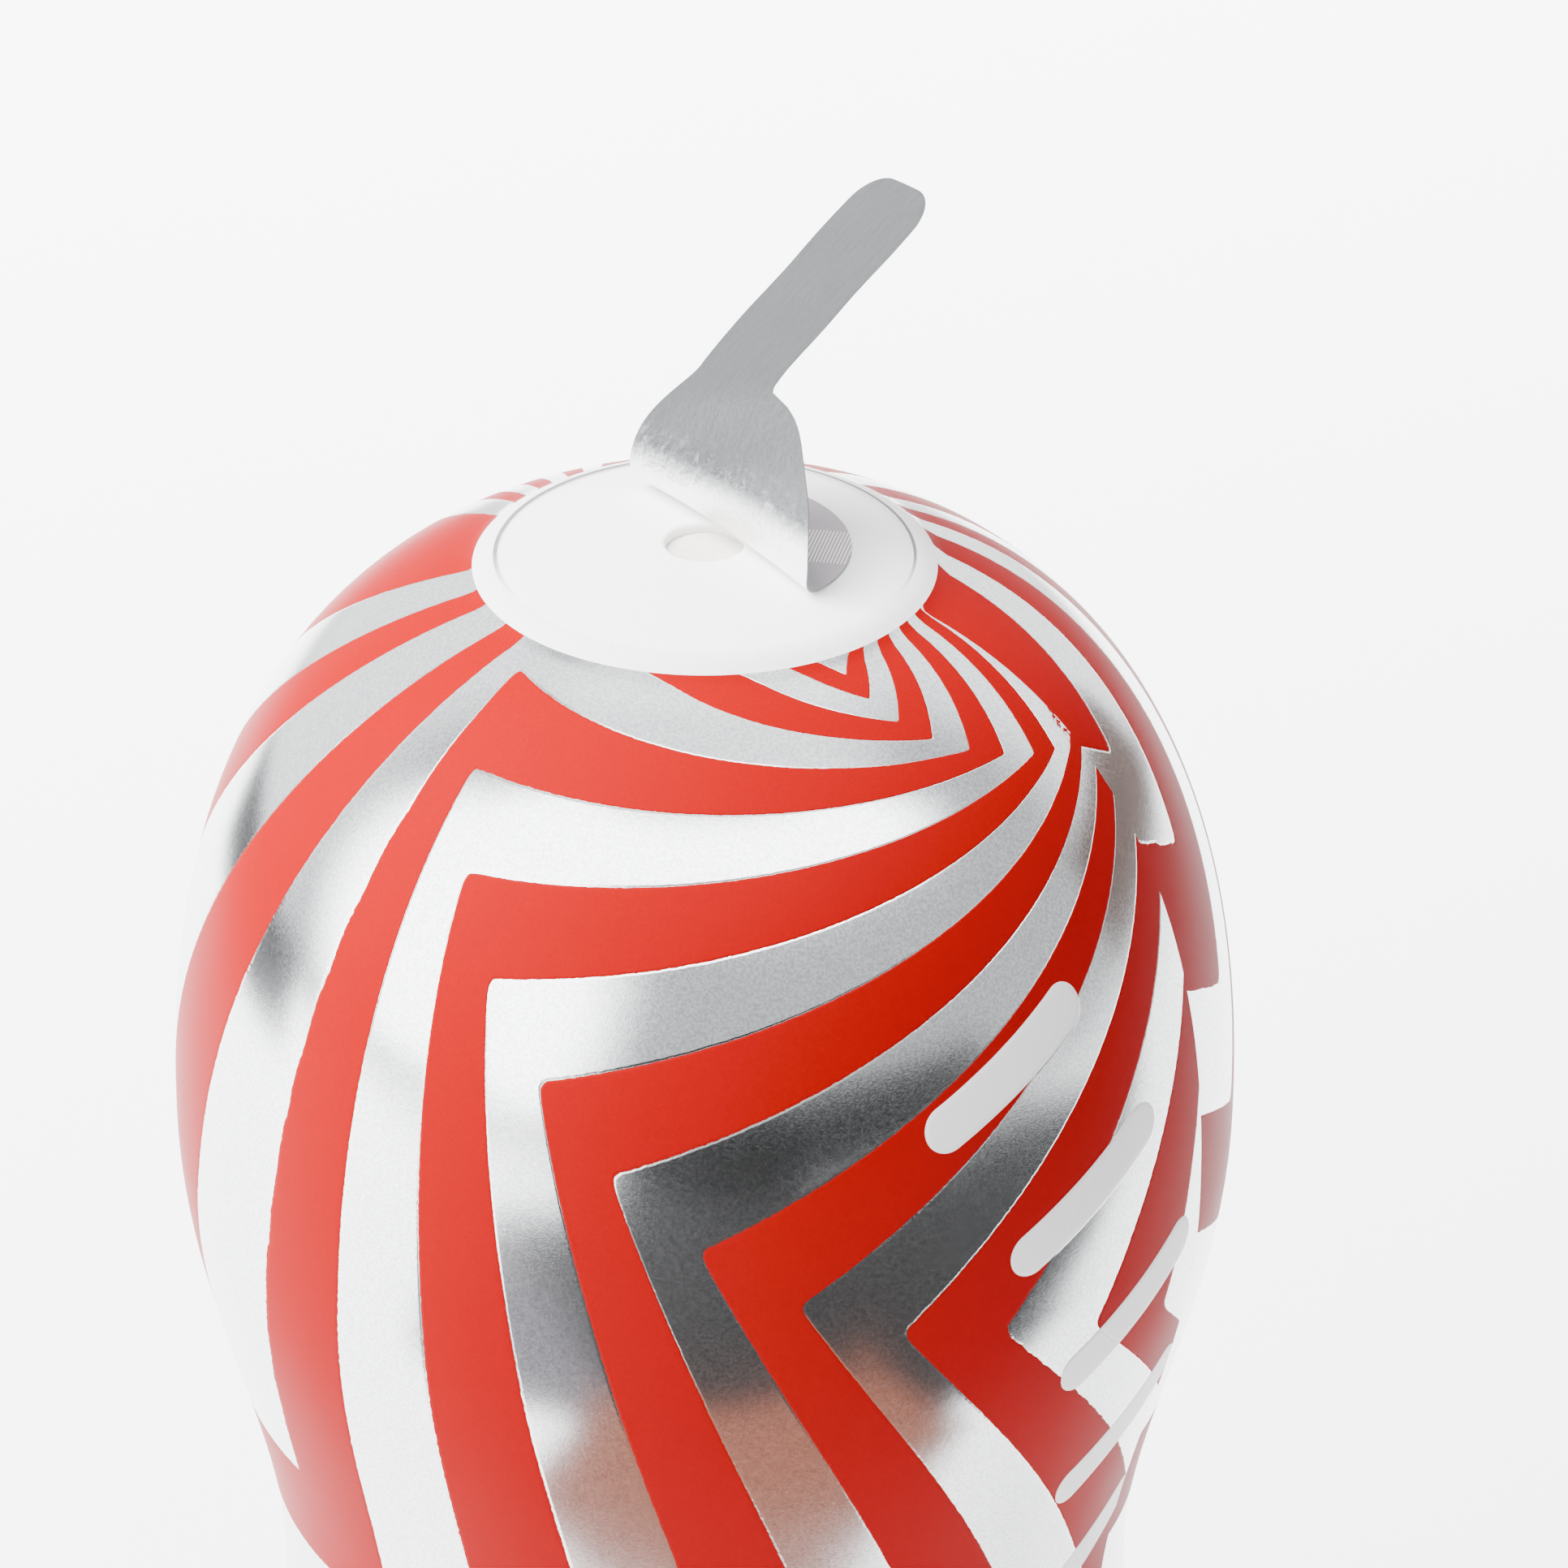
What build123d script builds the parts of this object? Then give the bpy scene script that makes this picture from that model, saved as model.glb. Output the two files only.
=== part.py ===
from build123d import *
import math
import os

# A waisted plastic cup that stands on a pull-off base cap. Two white shells meet at the waist and
# hold a soft liner with a ribbed bore, wrapped in foam. A printed film is shrunk over the outside,
# with a tear strip across the joint between shell and cap. The crowned top plate has a round vent,
# covered by a foil seal that is shown half peeled: one part is still bonded, the rest is rolled
# back and carries the pull tab.
#
# Millimetres, +Z up. The origin is the centre of the base, on the surface that the cup stands on.
# The fold of the seal runs along a chord of the seal at FOLD_ANGLE about +Z.

# ---- overall shape, measured over the film ----
BODY_HEIGHT = 155.0       # base to the middle of the crowned top plate
BULB_RADIUS = 34.5        # widest radius of the upper bulb
BULB_DEPTH = 40.0         # from the top plate down to that widest radius
WAIST_RADIUS = 28.4       # radius of the grip
WAIST_DEPTH = 75.5        # from the top plate down to the waist
FOOT_RADIUS = 33.6        # radius of the straight lower wall
FOOT_WALL_TOP = 42.0      # height where the lower wall turns straight
DOME_FLAT_POWER = 2.7     # superellipse powers of the dome: fullness towards the plate ...
DOME_SIDE_POWER = 2.3     # ... and towards the widest radius

# ---- top plate and vent ----
PLATE_RADIUS = 13.1       # bare plate inside the cut edge of the film
PLATE_CROWN = 0.94        # rise of the plate from that edge to the middle
SHOULDER_RADIUS = 15.4    # where the plate's rolled edge runs into the dome
VENT_RADIUS = 2.5

# ---- walls and fits ----
SHELL_WALL = 1.2
PLATE_WALL = 1.05
FILM = 0.25
FILM_GAP = 0.08           # between film and what it is shrunk on
SLIP = 0.15               # between rigid pieces that slide or seat in each other
SOFT_GAP = 0.3            # between foam or liner and their neighbours

# ---- waist joint of the two shells ----
TONGUE_LENGTH = 6.0
TONGUE_WALL = 1.0

# ---- base cap, neck and tear strip ----
CAP_HEIGHT = 24.0
CAP_WALL = 1.5
CAP_FLOOR = 1.6
CAP_EDGE = 2.5            # rounding of the cap's lower edge
FOOT_RECESS = 0.8         # depth of the hollow inside the foot ring
FOOT_RING_WIDTH = 5.8     # flat that the cup stands on
CAP_SHELL_GAP = 0.4       # open line between cap and shell
NECK_WALL = 1.5
STRIP_BELOW = 6.0         # tear strip's reach below the cap's rim ...
STRIP_ABOVE = 3.0         # ... and above it
PERFORATION = 0.3         # gap left by each perforated line
CAP_FILM_LOW = 3.0        # lower edge of the film left on the cap

# ---- liner, its clamp ring and the foam ----
LINER_ROOM = 4.4          # space left round the liner inside the waist joint
LINER_FLANGE = 2.0
LINER_TIP = 7.0           # solid thickness over the end of the bore
BORE_RADIUS = 9.0
RIB_RADIUS = 7.0          # bore radius at the crest of a rib
RIB_PITCH = 9.0
MOUTH_RADIUS = 16.0
MOUTH_DEPTH = 10.0
LINER_VENT_RADIUS = 1.5
RING_FLANGE = 3.0
RING_PLUG = 5.0
RING_STEP = 2.5           # from the liner's mouth out to the ring's opening
SHELF = 2.0               # ledge inside the neck that the liner's flange bears on
SHELF_CLEAR = 2.5         # from the liner's wall out to the ledge
JACKET_DROP = 2.0         # from the liner's tip down to the foam sleeve's top
TOP_PAD = 15.0            # thickness of the pad under the top plate
TOP_PAD_RADIUS = 17.0     # at its lower face ...
TOP_PAD_NECK = 10.0       # ... and at its upper face
CAP_PAD = 4.0             # thickness of the sealing disc inside the cap
SPONGE = 6.0              # thickness of the wetting sponge in the mouth ring

# ---- foil seal ----
SEAL_RADIUS = 9.2
SEAL_FOIL = 0.2
SEAL_LIFT = 0.05          # adhesive between foil and plate
FOLD_OFFSET = 3.0         # from the vent's axis to the fold
FOLD_ANGLE = 122.0        # direction of the fold line about +Z, from +X
ROLL_RADIUS = 1.6         # middle of the foil where it rolls back off the plate
ROLL_TURN = 92.0          # angle that it turns through there, up to the standing disc
ROLL_CLEAR = 0.1          # from the bonded foil up to the roll
BEND_RADIUS = 3.0         # middle of the foil where the tab leans back
BEND_TURN = 50.0
TAB_LOW, TAB_HIGH = -2.0, 5.7   # the tab's edges along the fold, from the vent's axis
TAB_LENGTH = 14.0         # straight stretch beyond the bend
TAB_ROUND = 2.4

WAIST_HEIGHT = BODY_HEIGHT - WAIST_DEPTH
BULB_HEIGHT = BODY_HEIGHT - BULB_DEPTH
CROWN_RADIUS = (PLATE_RADIUS**2 + PLATE_CROWN**2) / (2 * PLATE_CROWN)
SKIN = FILM + FILM_GAP
SHELL_BOTTOM = CAP_HEIGHT + CAP_SHELL_GAP
CAP_RADIUS = FOOT_RADIUS - SKIN
NECK_RADIUS = CAP_RADIUS - CAP_WALL - SLIP
NECK_INNER = NECK_RADIUS - NECK_WALL
FOOT_RING_INNER = CAP_RADIUS - CAP_EDGE - FOOT_RING_WIDTH
CAP_INSIDE = FOOT_RECESS + CAP_FLOOR
RING_LOW = CAP_INSIDE + CAP_PAD + SOFT_GAP
NECK_BOTTOM = RING_LOW + RING_FLANGE + SLIP
FLANGE_LOW = RING_LOW + RING_FLANGE + RING_PLUG + SLIP
FLANGE_TOP = FLANGE_LOW + LINER_FLANGE
SHELF_LOW = FLANGE_TOP + SLIP
RING_INNER = MOUTH_RADIUS + RING_STEP
PAD_TOP = BODY_HEIGHT - PLATE_CROWN - PLATE_WALL - SOFT_GAP
PAD_LOW = PAD_TOP - TOP_PAD
LINER_TOP = PAD_LOW - SOFT_GAP
LINER_RADIUS = WAIST_RADIUS - SKIN - SHELL_WALL - SLIP - TONGUE_WALL - LINER_ROOM
SHELF_INNER = LINER_RADIUS + SHELF_CLEAR
BORE_TOP = LINER_TOP - LINER_TIP


def dome_height(radius):
    """Height of the film's outer surface over a radius of the dome."""
    side = 1 - (radius / BULB_RADIUS) ** DOME_FLAT_POWER
    return BULB_HEIGHT + BULB_DEPTH * max(side, 0.0) ** (1 / DOME_SIDE_POWER)


def wave(height, low, high, low_radius, high_radius):
    """Radius that swings smoothly from one radius to another between two heights."""
    share = (height - low) / (high - low)
    return low_radius + (high_radius - low_radius) * (1 - math.cos(math.pi * share)) / 2


def wall_radius(height):
    """Outer radius of the film below the widest part of the bulb."""
    if height <= FOOT_WALL_TOP:
        return FOOT_RADIUS
    if height <= WAIST_HEIGHT:
        return wave(height, FOOT_WALL_TOP, WAIST_HEIGHT, FOOT_RADIUS, WAIST_RADIUS)
    return wave(height, WAIST_HEIGHT, BULB_HEIGHT, WAIST_RADIUS, BULB_RADIUS)


def outline():
    """Points of the film's outer surface, from the foot up over the dome to the plate's edge."""
    straight, bends, dome = 3, 9, 9
    heights = [SHELL_BOTTOM + (FOOT_WALL_TOP - SHELL_BOTTOM) * i / straight for i in range(straight)]
    heights += [FOOT_WALL_TOP + (WAIST_HEIGHT - FOOT_WALL_TOP) * i / bends for i in range(bends)]
    heights += [WAIST_HEIGHT + (BULB_HEIGHT - WAIST_HEIGHT) * i / bends for i in range(bends)]
    points = [(wall_radius(z), z) for z in heights]
    lean_end = math.asin((SHOULDER_RADIUS / BULB_RADIUS) ** (DOME_FLAT_POWER / 2))
    for i in range(dome + 1):
        lean = math.pi / 2 + (lean_end - math.pi / 2) * i / dome
        radius = BULB_RADIUS * math.sin(lean) ** (2 / DOME_FLAT_POWER)
        points.append((radius, dome_height(radius)))
    points.append((PLATE_RADIUS, BODY_HEIGHT - PLATE_CROWN + SKIN))
    return points


def inset(points, depth):
    """The same outline, moved inwards along its own normals."""
    moved = []
    for i, (r, z) in enumerate(points):
        before, after = points[max(i - 1, 0)], points[min(i + 1, len(points) - 1)]
        along = Vector(after[0] - before[0], after[1] - before[1]).normalized()
        moved.append((r - depth * along.Y, z + depth * along.X))
    return moved


def between(points, low, high):
    """The stretch of an outline between two heights, with its ends put exactly on them."""
    stretch = [p for p in points if low + 0.5 < p[1] < high - 0.5]
    return [(radius_at(points, low), low)] + stretch + [(radius_at(points, high), high)]


def radius_at(points, height):
    """Radius of an outline at a height, straight between its points."""
    for (r0, z0), (r1, z1) in zip(points, points[1:]):
        if z0 <= height <= z1:
            return r0 + (r1 - r0) * (height - z0) / (z1 - z0)
    return points[0][0] if height < points[0][1] else points[-1][0]


def turned(*edges):
    """A solid turned about Z from a closed chain of edges drawn as (radius, height)."""
    placed = [Plane.XZ * edge for part in edges for edge in part.edges()]
    return revolve(make_face(Wire.combine(placed)[0]), Axis.Z)


def tube(outer, inner, low, high):
    """A plain ring, or a disc where the inner radius is zero."""
    ring = Pos(0, 0, low) * Cylinder(outer, high - low, align=(Align.CENTER, Align.CENTER, Align.MIN))
    if inner:
        ring -= Pos(0, 0, low) * Cylinder(inner, high - low, align=(Align.CENTER, Align.CENTER, Align.MIN))
    return ring


def crown_ball(level):
    """Ball whose surface is the plate's crowned surface, moved up by a level."""
    return Pos(0, 0, BODY_HEIGHT - CROWN_RADIUS) * Sphere(CROWN_RADIUS + level)


OUTLINE = outline()
SHELL_OUT = inset(OUTLINE, SKIN)
SHELL_IN = inset(OUTLINE, SKIN + SHELL_WALL)


def upper_case():
    """Bulb with its crowned top plate and vent; its rim sits on the lower shell at the waist."""
    outer = between(SHELL_OUT, WAIST_HEIGHT, SHELL_OUT[-1][1])
    inner = between(SHELL_IN, WAIST_HEIGHT, SHELL_IN[-1][1])
    plate_edge = (PLATE_RADIUS, BODY_HEIGHT - PLATE_CROWN)
    outer[-1] = plate_edge
    half = PLATE_RADIUS / 2
    crown_mid = (half, BODY_HEIGHT - CROWN_RADIUS + math.sqrt(CROWN_RADIUS**2 - half**2))
    under_edge = (inner[-1][0], BODY_HEIGHT - PLATE_CROWN - PLATE_WALL)
    inner[-1] = under_edge
    under_mid = (half, crown_mid[1] - PLATE_WALL)
    shell = turned(
        Spline(outer),
        ThreePointArc(plate_edge, crown_mid, (0, BODY_HEIGHT)),
        Line((0, BODY_HEIGHT), (0, BODY_HEIGHT - PLATE_WALL)),
        ThreePointArc((0, BODY_HEIGHT - PLATE_WALL), under_mid, under_edge),
        Spline(inner),
        Line(inner[0], outer[0]),
    )
    return shell - tube(VENT_RADIUS, 0, BODY_HEIGHT - 2 * PLATE_WALL, BODY_HEIGHT + 1)


def lower_case():
    """Skirt from the waist down to the neck, with the tongue that centres the upper shell."""
    outer = between(SHELL_OUT, SHELL_BOTTOM, WAIST_HEIGHT - SLIP)
    inner = between(SHELL_IN, SHELL_BOTTOM + SHELL_WALL, WAIST_HEIGHT - SLIP)
    skirt = turned(
        Spline(outer),
        Line(outer[-1], inner[-1]),
        Spline(inner),
        Line(inner[0], (NECK_INNER, inner[0][1])),
        Line((NECK_INNER, inner[0][1]), (NECK_INNER, NECK_BOTTOM)),
        Line((NECK_INNER, NECK_BOTTOM), (NECK_RADIUS, NECK_BOTTOM)),
        Line((NECK_RADIUS, NECK_BOTTOM), (NECK_RADIUS, SHELL_BOTTOM)),
        Line((NECK_RADIUS, SHELL_BOTTOM), outer[0]),
    )
    tongue_out = radius_at(SHELL_IN, WAIST_HEIGHT) - SLIP
    tongue_in = tongue_out - TONGUE_WALL
    root = radius_at(SHELL_IN, WAIST_HEIGHT - TONGUE_LENGTH) + SHELL_WALL / 2
    tongue = turned(
        Polyline(
            (tongue_out, WAIST_HEIGHT + TONGUE_LENGTH),
            (tongue_in, WAIST_HEIGHT + TONGUE_LENGTH),
            (tongue_in, WAIST_HEIGHT - TONGUE_LENGTH),
            (root, WAIST_HEIGHT - TONGUE_LENGTH),
            (root, WAIST_HEIGHT - SLIP),
            (tongue_out, WAIST_HEIGHT - SLIP),
            close=True,
        )
    )
    shelf = tube(NECK_INNER + NECK_WALL / 2, SHELF_INNER, SHELF_LOW, SHELF_LOW + SHELF)
    return skirt + tongue + shelf


def printed_sleeve():
    """Shrunk film from the plate's edge down to the upper perforated line."""
    low = CAP_HEIGHT + STRIP_ABOVE + PERFORATION
    outer = between(OUTLINE, low, OUTLINE[-1][1])
    inner = between(inset(OUTLINE, FILM), low, inset(OUTLINE, FILM)[-1][1])
    return turned(Spline(outer), Line(outer[-1], inner[-1]), Spline(inner), Line(inner[0], outer[0]))


def tear_strip():
    """Band of film between the two perforated lines, across the joint of cap and shell."""
    return tube(FOOT_RADIUS, FOOT_RADIUS - FILM, CAP_HEIGHT - STRIP_BELOW, CAP_HEIGHT + STRIP_ABOVE)


def cap_film():
    """Film below the tear strip, which stays on the cap."""
    high = CAP_HEIGHT - STRIP_BELOW - PERFORATION
    return tube(FOOT_RADIUS, FOOT_RADIUS - FILM, CAP_FILM_LOW, high)


def base_cap():
    """Pull-off cap: a cup over the neck, standing on a foot ring."""
    block = tube(CAP_RADIUS, 0, 0, CAP_HEIGHT)
    block = fillet(block.edges().group_by(Axis.Z)[0], CAP_EDGE)
    block -= tube(CAP_RADIUS - CAP_WALL, 0, CAP_INSIDE, CAP_HEIGHT)
    return block - tube(FOOT_RING_INNER, 0, 0, FOOT_RECESS)


def cap_seal_disc():
    """Foam disc that the cap presses against the clamp ring."""
    return tube(CAP_RADIUS - CAP_WALL - SOFT_GAP, 0, CAP_INSIDE, CAP_INSIDE + CAP_PAD)


def mouth_ring():
    """Ring plugged into the neck, which clamps the liner's flange up against the shelf."""
    flange_top = RING_LOW + RING_FLANGE
    flange = tube(NECK_RADIUS - SLIP, RING_INNER, RING_LOW, flange_top)
    plug = tube(NECK_INNER - SLIP, RING_INNER, flange_top, flange_top + RING_PLUG)
    ring = flange + plug
    return fillet(ring.edges().filter_by(GeomType.CIRCLE).group_by(Axis.Z)[0].sort_by(Edge.length)[0], 1.0)


def bore_outline():
    """Ribbed bore as (radius, height), from the mouth up to its closed end."""
    points = [(MOUTH_RADIUS, FLANGE_LOW), (BORE_RADIUS, FLANGE_LOW + MOUTH_DEPTH)]
    ribs = int((BORE_TOP - points[-1][1]) / RIB_PITCH)
    for i in range(ribs):
        start = FLANGE_LOW + MOUTH_DEPTH + i * RIB_PITCH
        points.append((BORE_RADIUS, start + 0.35 * RIB_PITCH))
        points.append((RIB_RADIUS, start + 0.5 * RIB_PITCH))
        points.append((RIB_RADIUS, start + 0.7 * RIB_PITCH))
        points.append((BORE_RADIUS, start + 0.85 * RIB_PITCH))
    return points + [(BORE_RADIUS, BORE_TOP), (LINER_VENT_RADIUS, BORE_TOP)]


def inner_liner():
    """Soft sleeve: flange, ribbed bore and rounded tip with a small air hole."""
    flange_radius = NECK_INNER - SOFT_GAP
    tip_round = LINER_RADIUS / 2
    tip = (LINER_RADIUS - tip_round, LINER_TOP)
    tip_mid = (LINER_RADIUS - tip_round * (1 - math.sqrt(0.5)), LINER_TOP - tip_round * (1 - math.sqrt(0.5)))
    bore = bore_outline()
    return turned(
        Polyline(*bore, (LINER_VENT_RADIUS, LINER_TOP), tip),
        ThreePointArc(tip, tip_mid, (LINER_RADIUS, LINER_TOP - tip_round)),
        Polyline(
            (LINER_RADIUS, LINER_TOP - tip_round),
            (LINER_RADIUS, FLANGE_TOP),
            (flange_radius, FLANGE_TOP),
            (flange_radius, FLANGE_LOW),
            bore[0],
        ),
    )


def foam_sleeve(low, high):
    """Foam between the liner and the inside of a shell, between two heights."""
    outer = between(inset(OUTLINE, SKIN + SHELL_WALL + SOFT_GAP), low, high)
    inner_radius = LINER_RADIUS + SOFT_GAP
    return turned(
        Spline(outer),
        Polyline(outer[-1], (inner_radius, high), (inner_radius, low), outer[0]),
    )


def upper_jacket():
    """Foam sleeve inside the bulb, above the waist joint."""
    return foam_sleeve(WAIST_HEIGHT + TONGUE_LENGTH + SOFT_GAP, LINER_TOP - JACKET_DROP)


def lower_jacket():
    """Foam sleeve inside the skirt, below the waist joint."""
    return foam_sleeve(SHELL_BOTTOM + SHELL_WALL + SOFT_GAP, WAIST_HEIGHT - TONGUE_LENGTH - SOFT_GAP)


def top_pad():
    """Open-cell pad over the liner's tip, seen through the vent."""
    return turned(
        Polyline((0, PAD_LOW), (TOP_PAD_RADIUS, PAD_LOW), (TOP_PAD_NECK, PAD_TOP), (0, PAD_TOP), (0, PAD_LOW))
    )


def mouth_sponge():
    """Wet sponge that stands on the sealing disc, inside the mouth ring."""
    low = CAP_INSIDE + CAP_PAD
    return tube(RING_INNER - 2 * SOFT_GAP, 0, low, low + SPONGE)


# The seal is drawn with its fold along local Y and the vent's axis as origin, then turned so that
# local Y runs along the fold. The peeled foil leaves the plate towards local -X. Its lean is 0 flat
# on the plate, 90 degrees upright and 180 degrees folded right over.
SEAL_TURN = Rot(0, 0, FOLD_ANGLE - 90)
FOLD_HEIGHT = BODY_HEIGHT - FOLD_OFFSET**2 / (2 * CROWN_RADIUS) + SEAL_LIFT + SEAL_FOIL
ROLL_HEIGHT = FOLD_HEIGHT + ROLL_CLEAR + ROLL_RADIUS + SEAL_FOIL / 2


def foil_heading(lean):
    """Direction of the peeled foil at a lean."""
    return Vector(-math.cos(math.radians(lean)), 0, math.sin(math.radians(lean)))


def foil_inward(lean):
    """Direction from the foil to the centre that it curls round, at a lean."""
    return Vector(math.sin(math.radians(lean)), 0, math.cos(math.radians(lean)))


def foil_curl(centre, radius, lean, turn, low, high):
    """Foil curled round a centre, from one lean through a turn, between two places along the fold."""
    arcs = [
        CenterArc((centre.X, centre.Z), radius + side * SEAL_FOIL / 2, 270 - lean - turn, turn)
        for side in (-1, 1)
    ]
    ends = [Line(arcs[0] @ i, arcs[1] @ i) for i in (0, 1)]
    section = make_face(Wire.combine([Plane.XZ * edge for edge in arcs + ends])[0])
    return Pos(0, high, 0) * extrude(section, high - low, dir=(0, -1, 0))


def foil_flat(start, lean, sketch):
    """Flat foil from a point on, drawn with local X along its heading and local Y along the fold."""
    plane = Plane(origin=start, x_dir=foil_heading(lean), z_dir=-foil_inward(lean))
    return extrude(plane * sketch, SEAL_FOIL / 2, both=True)


def seal_bonded():
    """Part of the foil disc that still sticks to the plate, beyond the fold."""
    shell = crown_ball(SEAL_LIFT + SEAL_FOIL) - crown_ball(SEAL_LIFT)
    disc = tube(SEAL_RADIUS, 0, BODY_HEIGHT - PLATE_CROWN, BODY_HEIGHT + 1)
    beyond = Pos(FOLD_OFFSET, 0, BODY_HEIGHT) * Box(
        SEAL_RADIUS, 2 * SEAL_RADIUS, 4, align=(Align.MIN, Align.CENTER, Align.CENTER)
    )
    return SEAL_TURN * (shell & disc & beyond)


def seal_flap():
    """Peeled foil: the roll at the fold, the standing rest of the disc and the pull tab."""
    rolled = ROLL_RADIUS * math.radians(ROLL_TURN)
    roll_half = math.sqrt(SEAL_RADIUS**2 - FOLD_OFFSET**2)
    roll_centre = Vector(FOLD_OFFSET, 0, ROLL_HEIGHT)
    roll = foil_curl(roll_centre, ROLL_RADIUS, 0, ROLL_TURN, -roll_half, roll_half)

    disc_foot = roll_centre - foil_inward(ROLL_TURN) * ROLL_RADIUS
    disc_length = FOLD_OFFSET + SEAL_RADIUS - rolled
    stretch = Rectangle(disc_length, 2 * SEAL_RADIUS, align=(Align.MIN, Align.CENTER))
    root = Pos(0, TAB_LOW) * Rectangle(disc_length, TAB_HIGH - TAB_LOW, align=(Align.MIN, Align.MIN))
    disc = foil_flat(disc_foot, ROLL_TURN, (Pos(FOLD_OFFSET - rolled, 0) * Circle(SEAL_RADIUS) & stretch) + root)

    bend_foot = disc_foot + foil_heading(ROLL_TURN) * disc_length
    bend_centre = bend_foot + foil_inward(ROLL_TURN) * BEND_RADIUS
    bend = foil_curl(bend_centre, BEND_RADIUS, ROLL_TURN, BEND_TURN, TAB_LOW, TAB_HIGH)

    tab_lean = ROLL_TURN + BEND_TURN
    tab_foot = bend_centre - foil_inward(tab_lean) * BEND_RADIUS
    outline = Pos(0, TAB_LOW) * Rectangle(TAB_LENGTH, TAB_HIGH - TAB_LOW, align=(Align.MIN, Align.MIN))
    outline = fillet(outline.vertices().group_by(Axis.X)[-1], TAB_ROUND)
    return SEAL_TURN * (roll + disc + bend + foil_flat(tab_foot, tab_lean, outline))


PIECES = (
    upper_case,
    lower_case,
    printed_sleeve,
    tear_strip,
    cap_film,
    base_cap,
    cap_seal_disc,
    mouth_ring,
    inner_liner,
    upper_jacket,
    lower_jacket,
    top_pad,
    mouth_sponge,
    seal_bonded,
    seal_flap,
)

os.makedirs("parts", exist_ok=True)
for piece in PIECES:
    export_step(piece(), f"parts/{piece.__name__}.step")
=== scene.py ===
import math

import bpy
import numpy as np
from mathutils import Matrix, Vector


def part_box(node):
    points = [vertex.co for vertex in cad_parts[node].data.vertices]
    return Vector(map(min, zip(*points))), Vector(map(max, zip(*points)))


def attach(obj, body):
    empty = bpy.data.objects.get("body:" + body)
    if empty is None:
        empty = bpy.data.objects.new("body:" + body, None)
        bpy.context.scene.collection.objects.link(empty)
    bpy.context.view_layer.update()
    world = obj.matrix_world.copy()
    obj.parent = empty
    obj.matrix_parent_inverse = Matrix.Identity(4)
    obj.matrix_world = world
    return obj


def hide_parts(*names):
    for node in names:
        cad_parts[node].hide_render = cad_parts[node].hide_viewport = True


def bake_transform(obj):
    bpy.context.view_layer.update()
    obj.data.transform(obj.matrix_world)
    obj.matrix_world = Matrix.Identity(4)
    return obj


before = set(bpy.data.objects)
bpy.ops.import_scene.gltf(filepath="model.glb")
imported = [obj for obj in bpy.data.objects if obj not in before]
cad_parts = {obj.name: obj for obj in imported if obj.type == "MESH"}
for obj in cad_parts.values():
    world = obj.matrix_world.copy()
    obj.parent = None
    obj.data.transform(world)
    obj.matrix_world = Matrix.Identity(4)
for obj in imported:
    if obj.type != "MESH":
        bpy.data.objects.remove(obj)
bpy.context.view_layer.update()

bl_info = {
    "name": "Vented Cup",
    "version": (1, 0, 0),
    "blender": (4, 5, 0),
    "location": "View3D > Sidebar > Cup",
    "description": "Builds a waisted cup in printed film, with a half-peeled foil seal on its vent",
    "category": "Add Mesh",
}

# Metres throughout, +Z up. The cup stands on its foot ring at z = 0 and its axis is Z.
MM = 0.001

# ---- overall shape, from the frame ----
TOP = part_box("upper_case")[1].z
FOOT_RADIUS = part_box("tear_strip")[1].x
BULB_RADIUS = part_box("printed_sleeve")[1].x
SHELL_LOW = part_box("lower_case")[0].z
SLEEVE_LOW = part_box("printed_sleeve")[0].z
STRIP_LOW, STRIP_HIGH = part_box("tear_strip")[0].z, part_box("tear_strip")[1].z
CAP_FILM_LOW, CAP_FILM_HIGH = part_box("cap_film")[0].z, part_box("cap_film")[1].z
CAP_RADIUS, CAP_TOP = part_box("base_cap")[1].x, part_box("base_cap")[1].z
WAIST_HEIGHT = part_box("upper_case")[0].z

# ---- outline of the film, below its widest radius a pair of smooth waves, above it a dome ----
BULB_HEIGHT = TOP - 40.0 * MM
WAIST_RADIUS = 28.4 * MM
FOOT_WALL_TOP = 42.0 * MM
DOME_FLAT_POWER = 2.7
DOME_SIDE_POWER = 2.3
SHOULDER_RADIUS = 15.4 * MM
PLATE_RADIUS = 13.1 * MM
PLATE_CROWN = 0.94 * MM
CROWN_RADIUS = (PLATE_RADIUS**2 + PLATE_CROWN**2) / (2 * PLATE_CROWN)

# ---- walls and fits ----
FILM = 0.1 * MM
FILM_STEP = 0.12 * MM
SKIN = 0.33 * MM
SHELL_WALL = 1.2 * MM
PLATE_WALL = 1.05 * MM
VENT_RADIUS = 2.5 * MM
SLIP = 0.15 * MM
TONGUE_LENGTH = 6.0 * MM
TONGUE_WALL = 1.0 * MM
NECK_RADIUS = CAP_RADIUS - 1.65 * MM
NECK_INNER = NECK_RADIUS - 1.5 * MM
SHELL_LOW_EDGE = CAP_TOP + 0.4 * MM
LEDGE_TOP = SHELL_LOW + 9.15 * MM
LEDGE_INNER = 23.8 * MM
LEDGE_THICKNESS = 2 * MM

# ---- foil seal, with lengths along the flat foil counted from its fold ----
FOLD_ANGLE = 122.0        # direction about +Z, from +X, that the fold line runs in
FOLD_OFFSET = 3.0 * MM
SEAL_LIFT = 0.14 * MM
SEAL_FULLNESS = 2.7       # power of the disc's outline on its near side, where 2 is a circle
TAB_EDGES = (-2.0 * MM, 5.7 * MM)
TAB_ROUND = 2.4 * MM
TAB_END = 28.0 * MM
NOTCH_ROUND = (1.1 * MM, 2.2 * MM)
BEND_START, BEND_SKEW, BEND_SPAN = 3.2 * MM, 1.4 * MM, 12.5 * MM
HATCH = 21000             # radians per metre of the fine lines, along and beside
HATCH_ACROSS = (0.53, 0.848)            # direction across the hatched band

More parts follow.
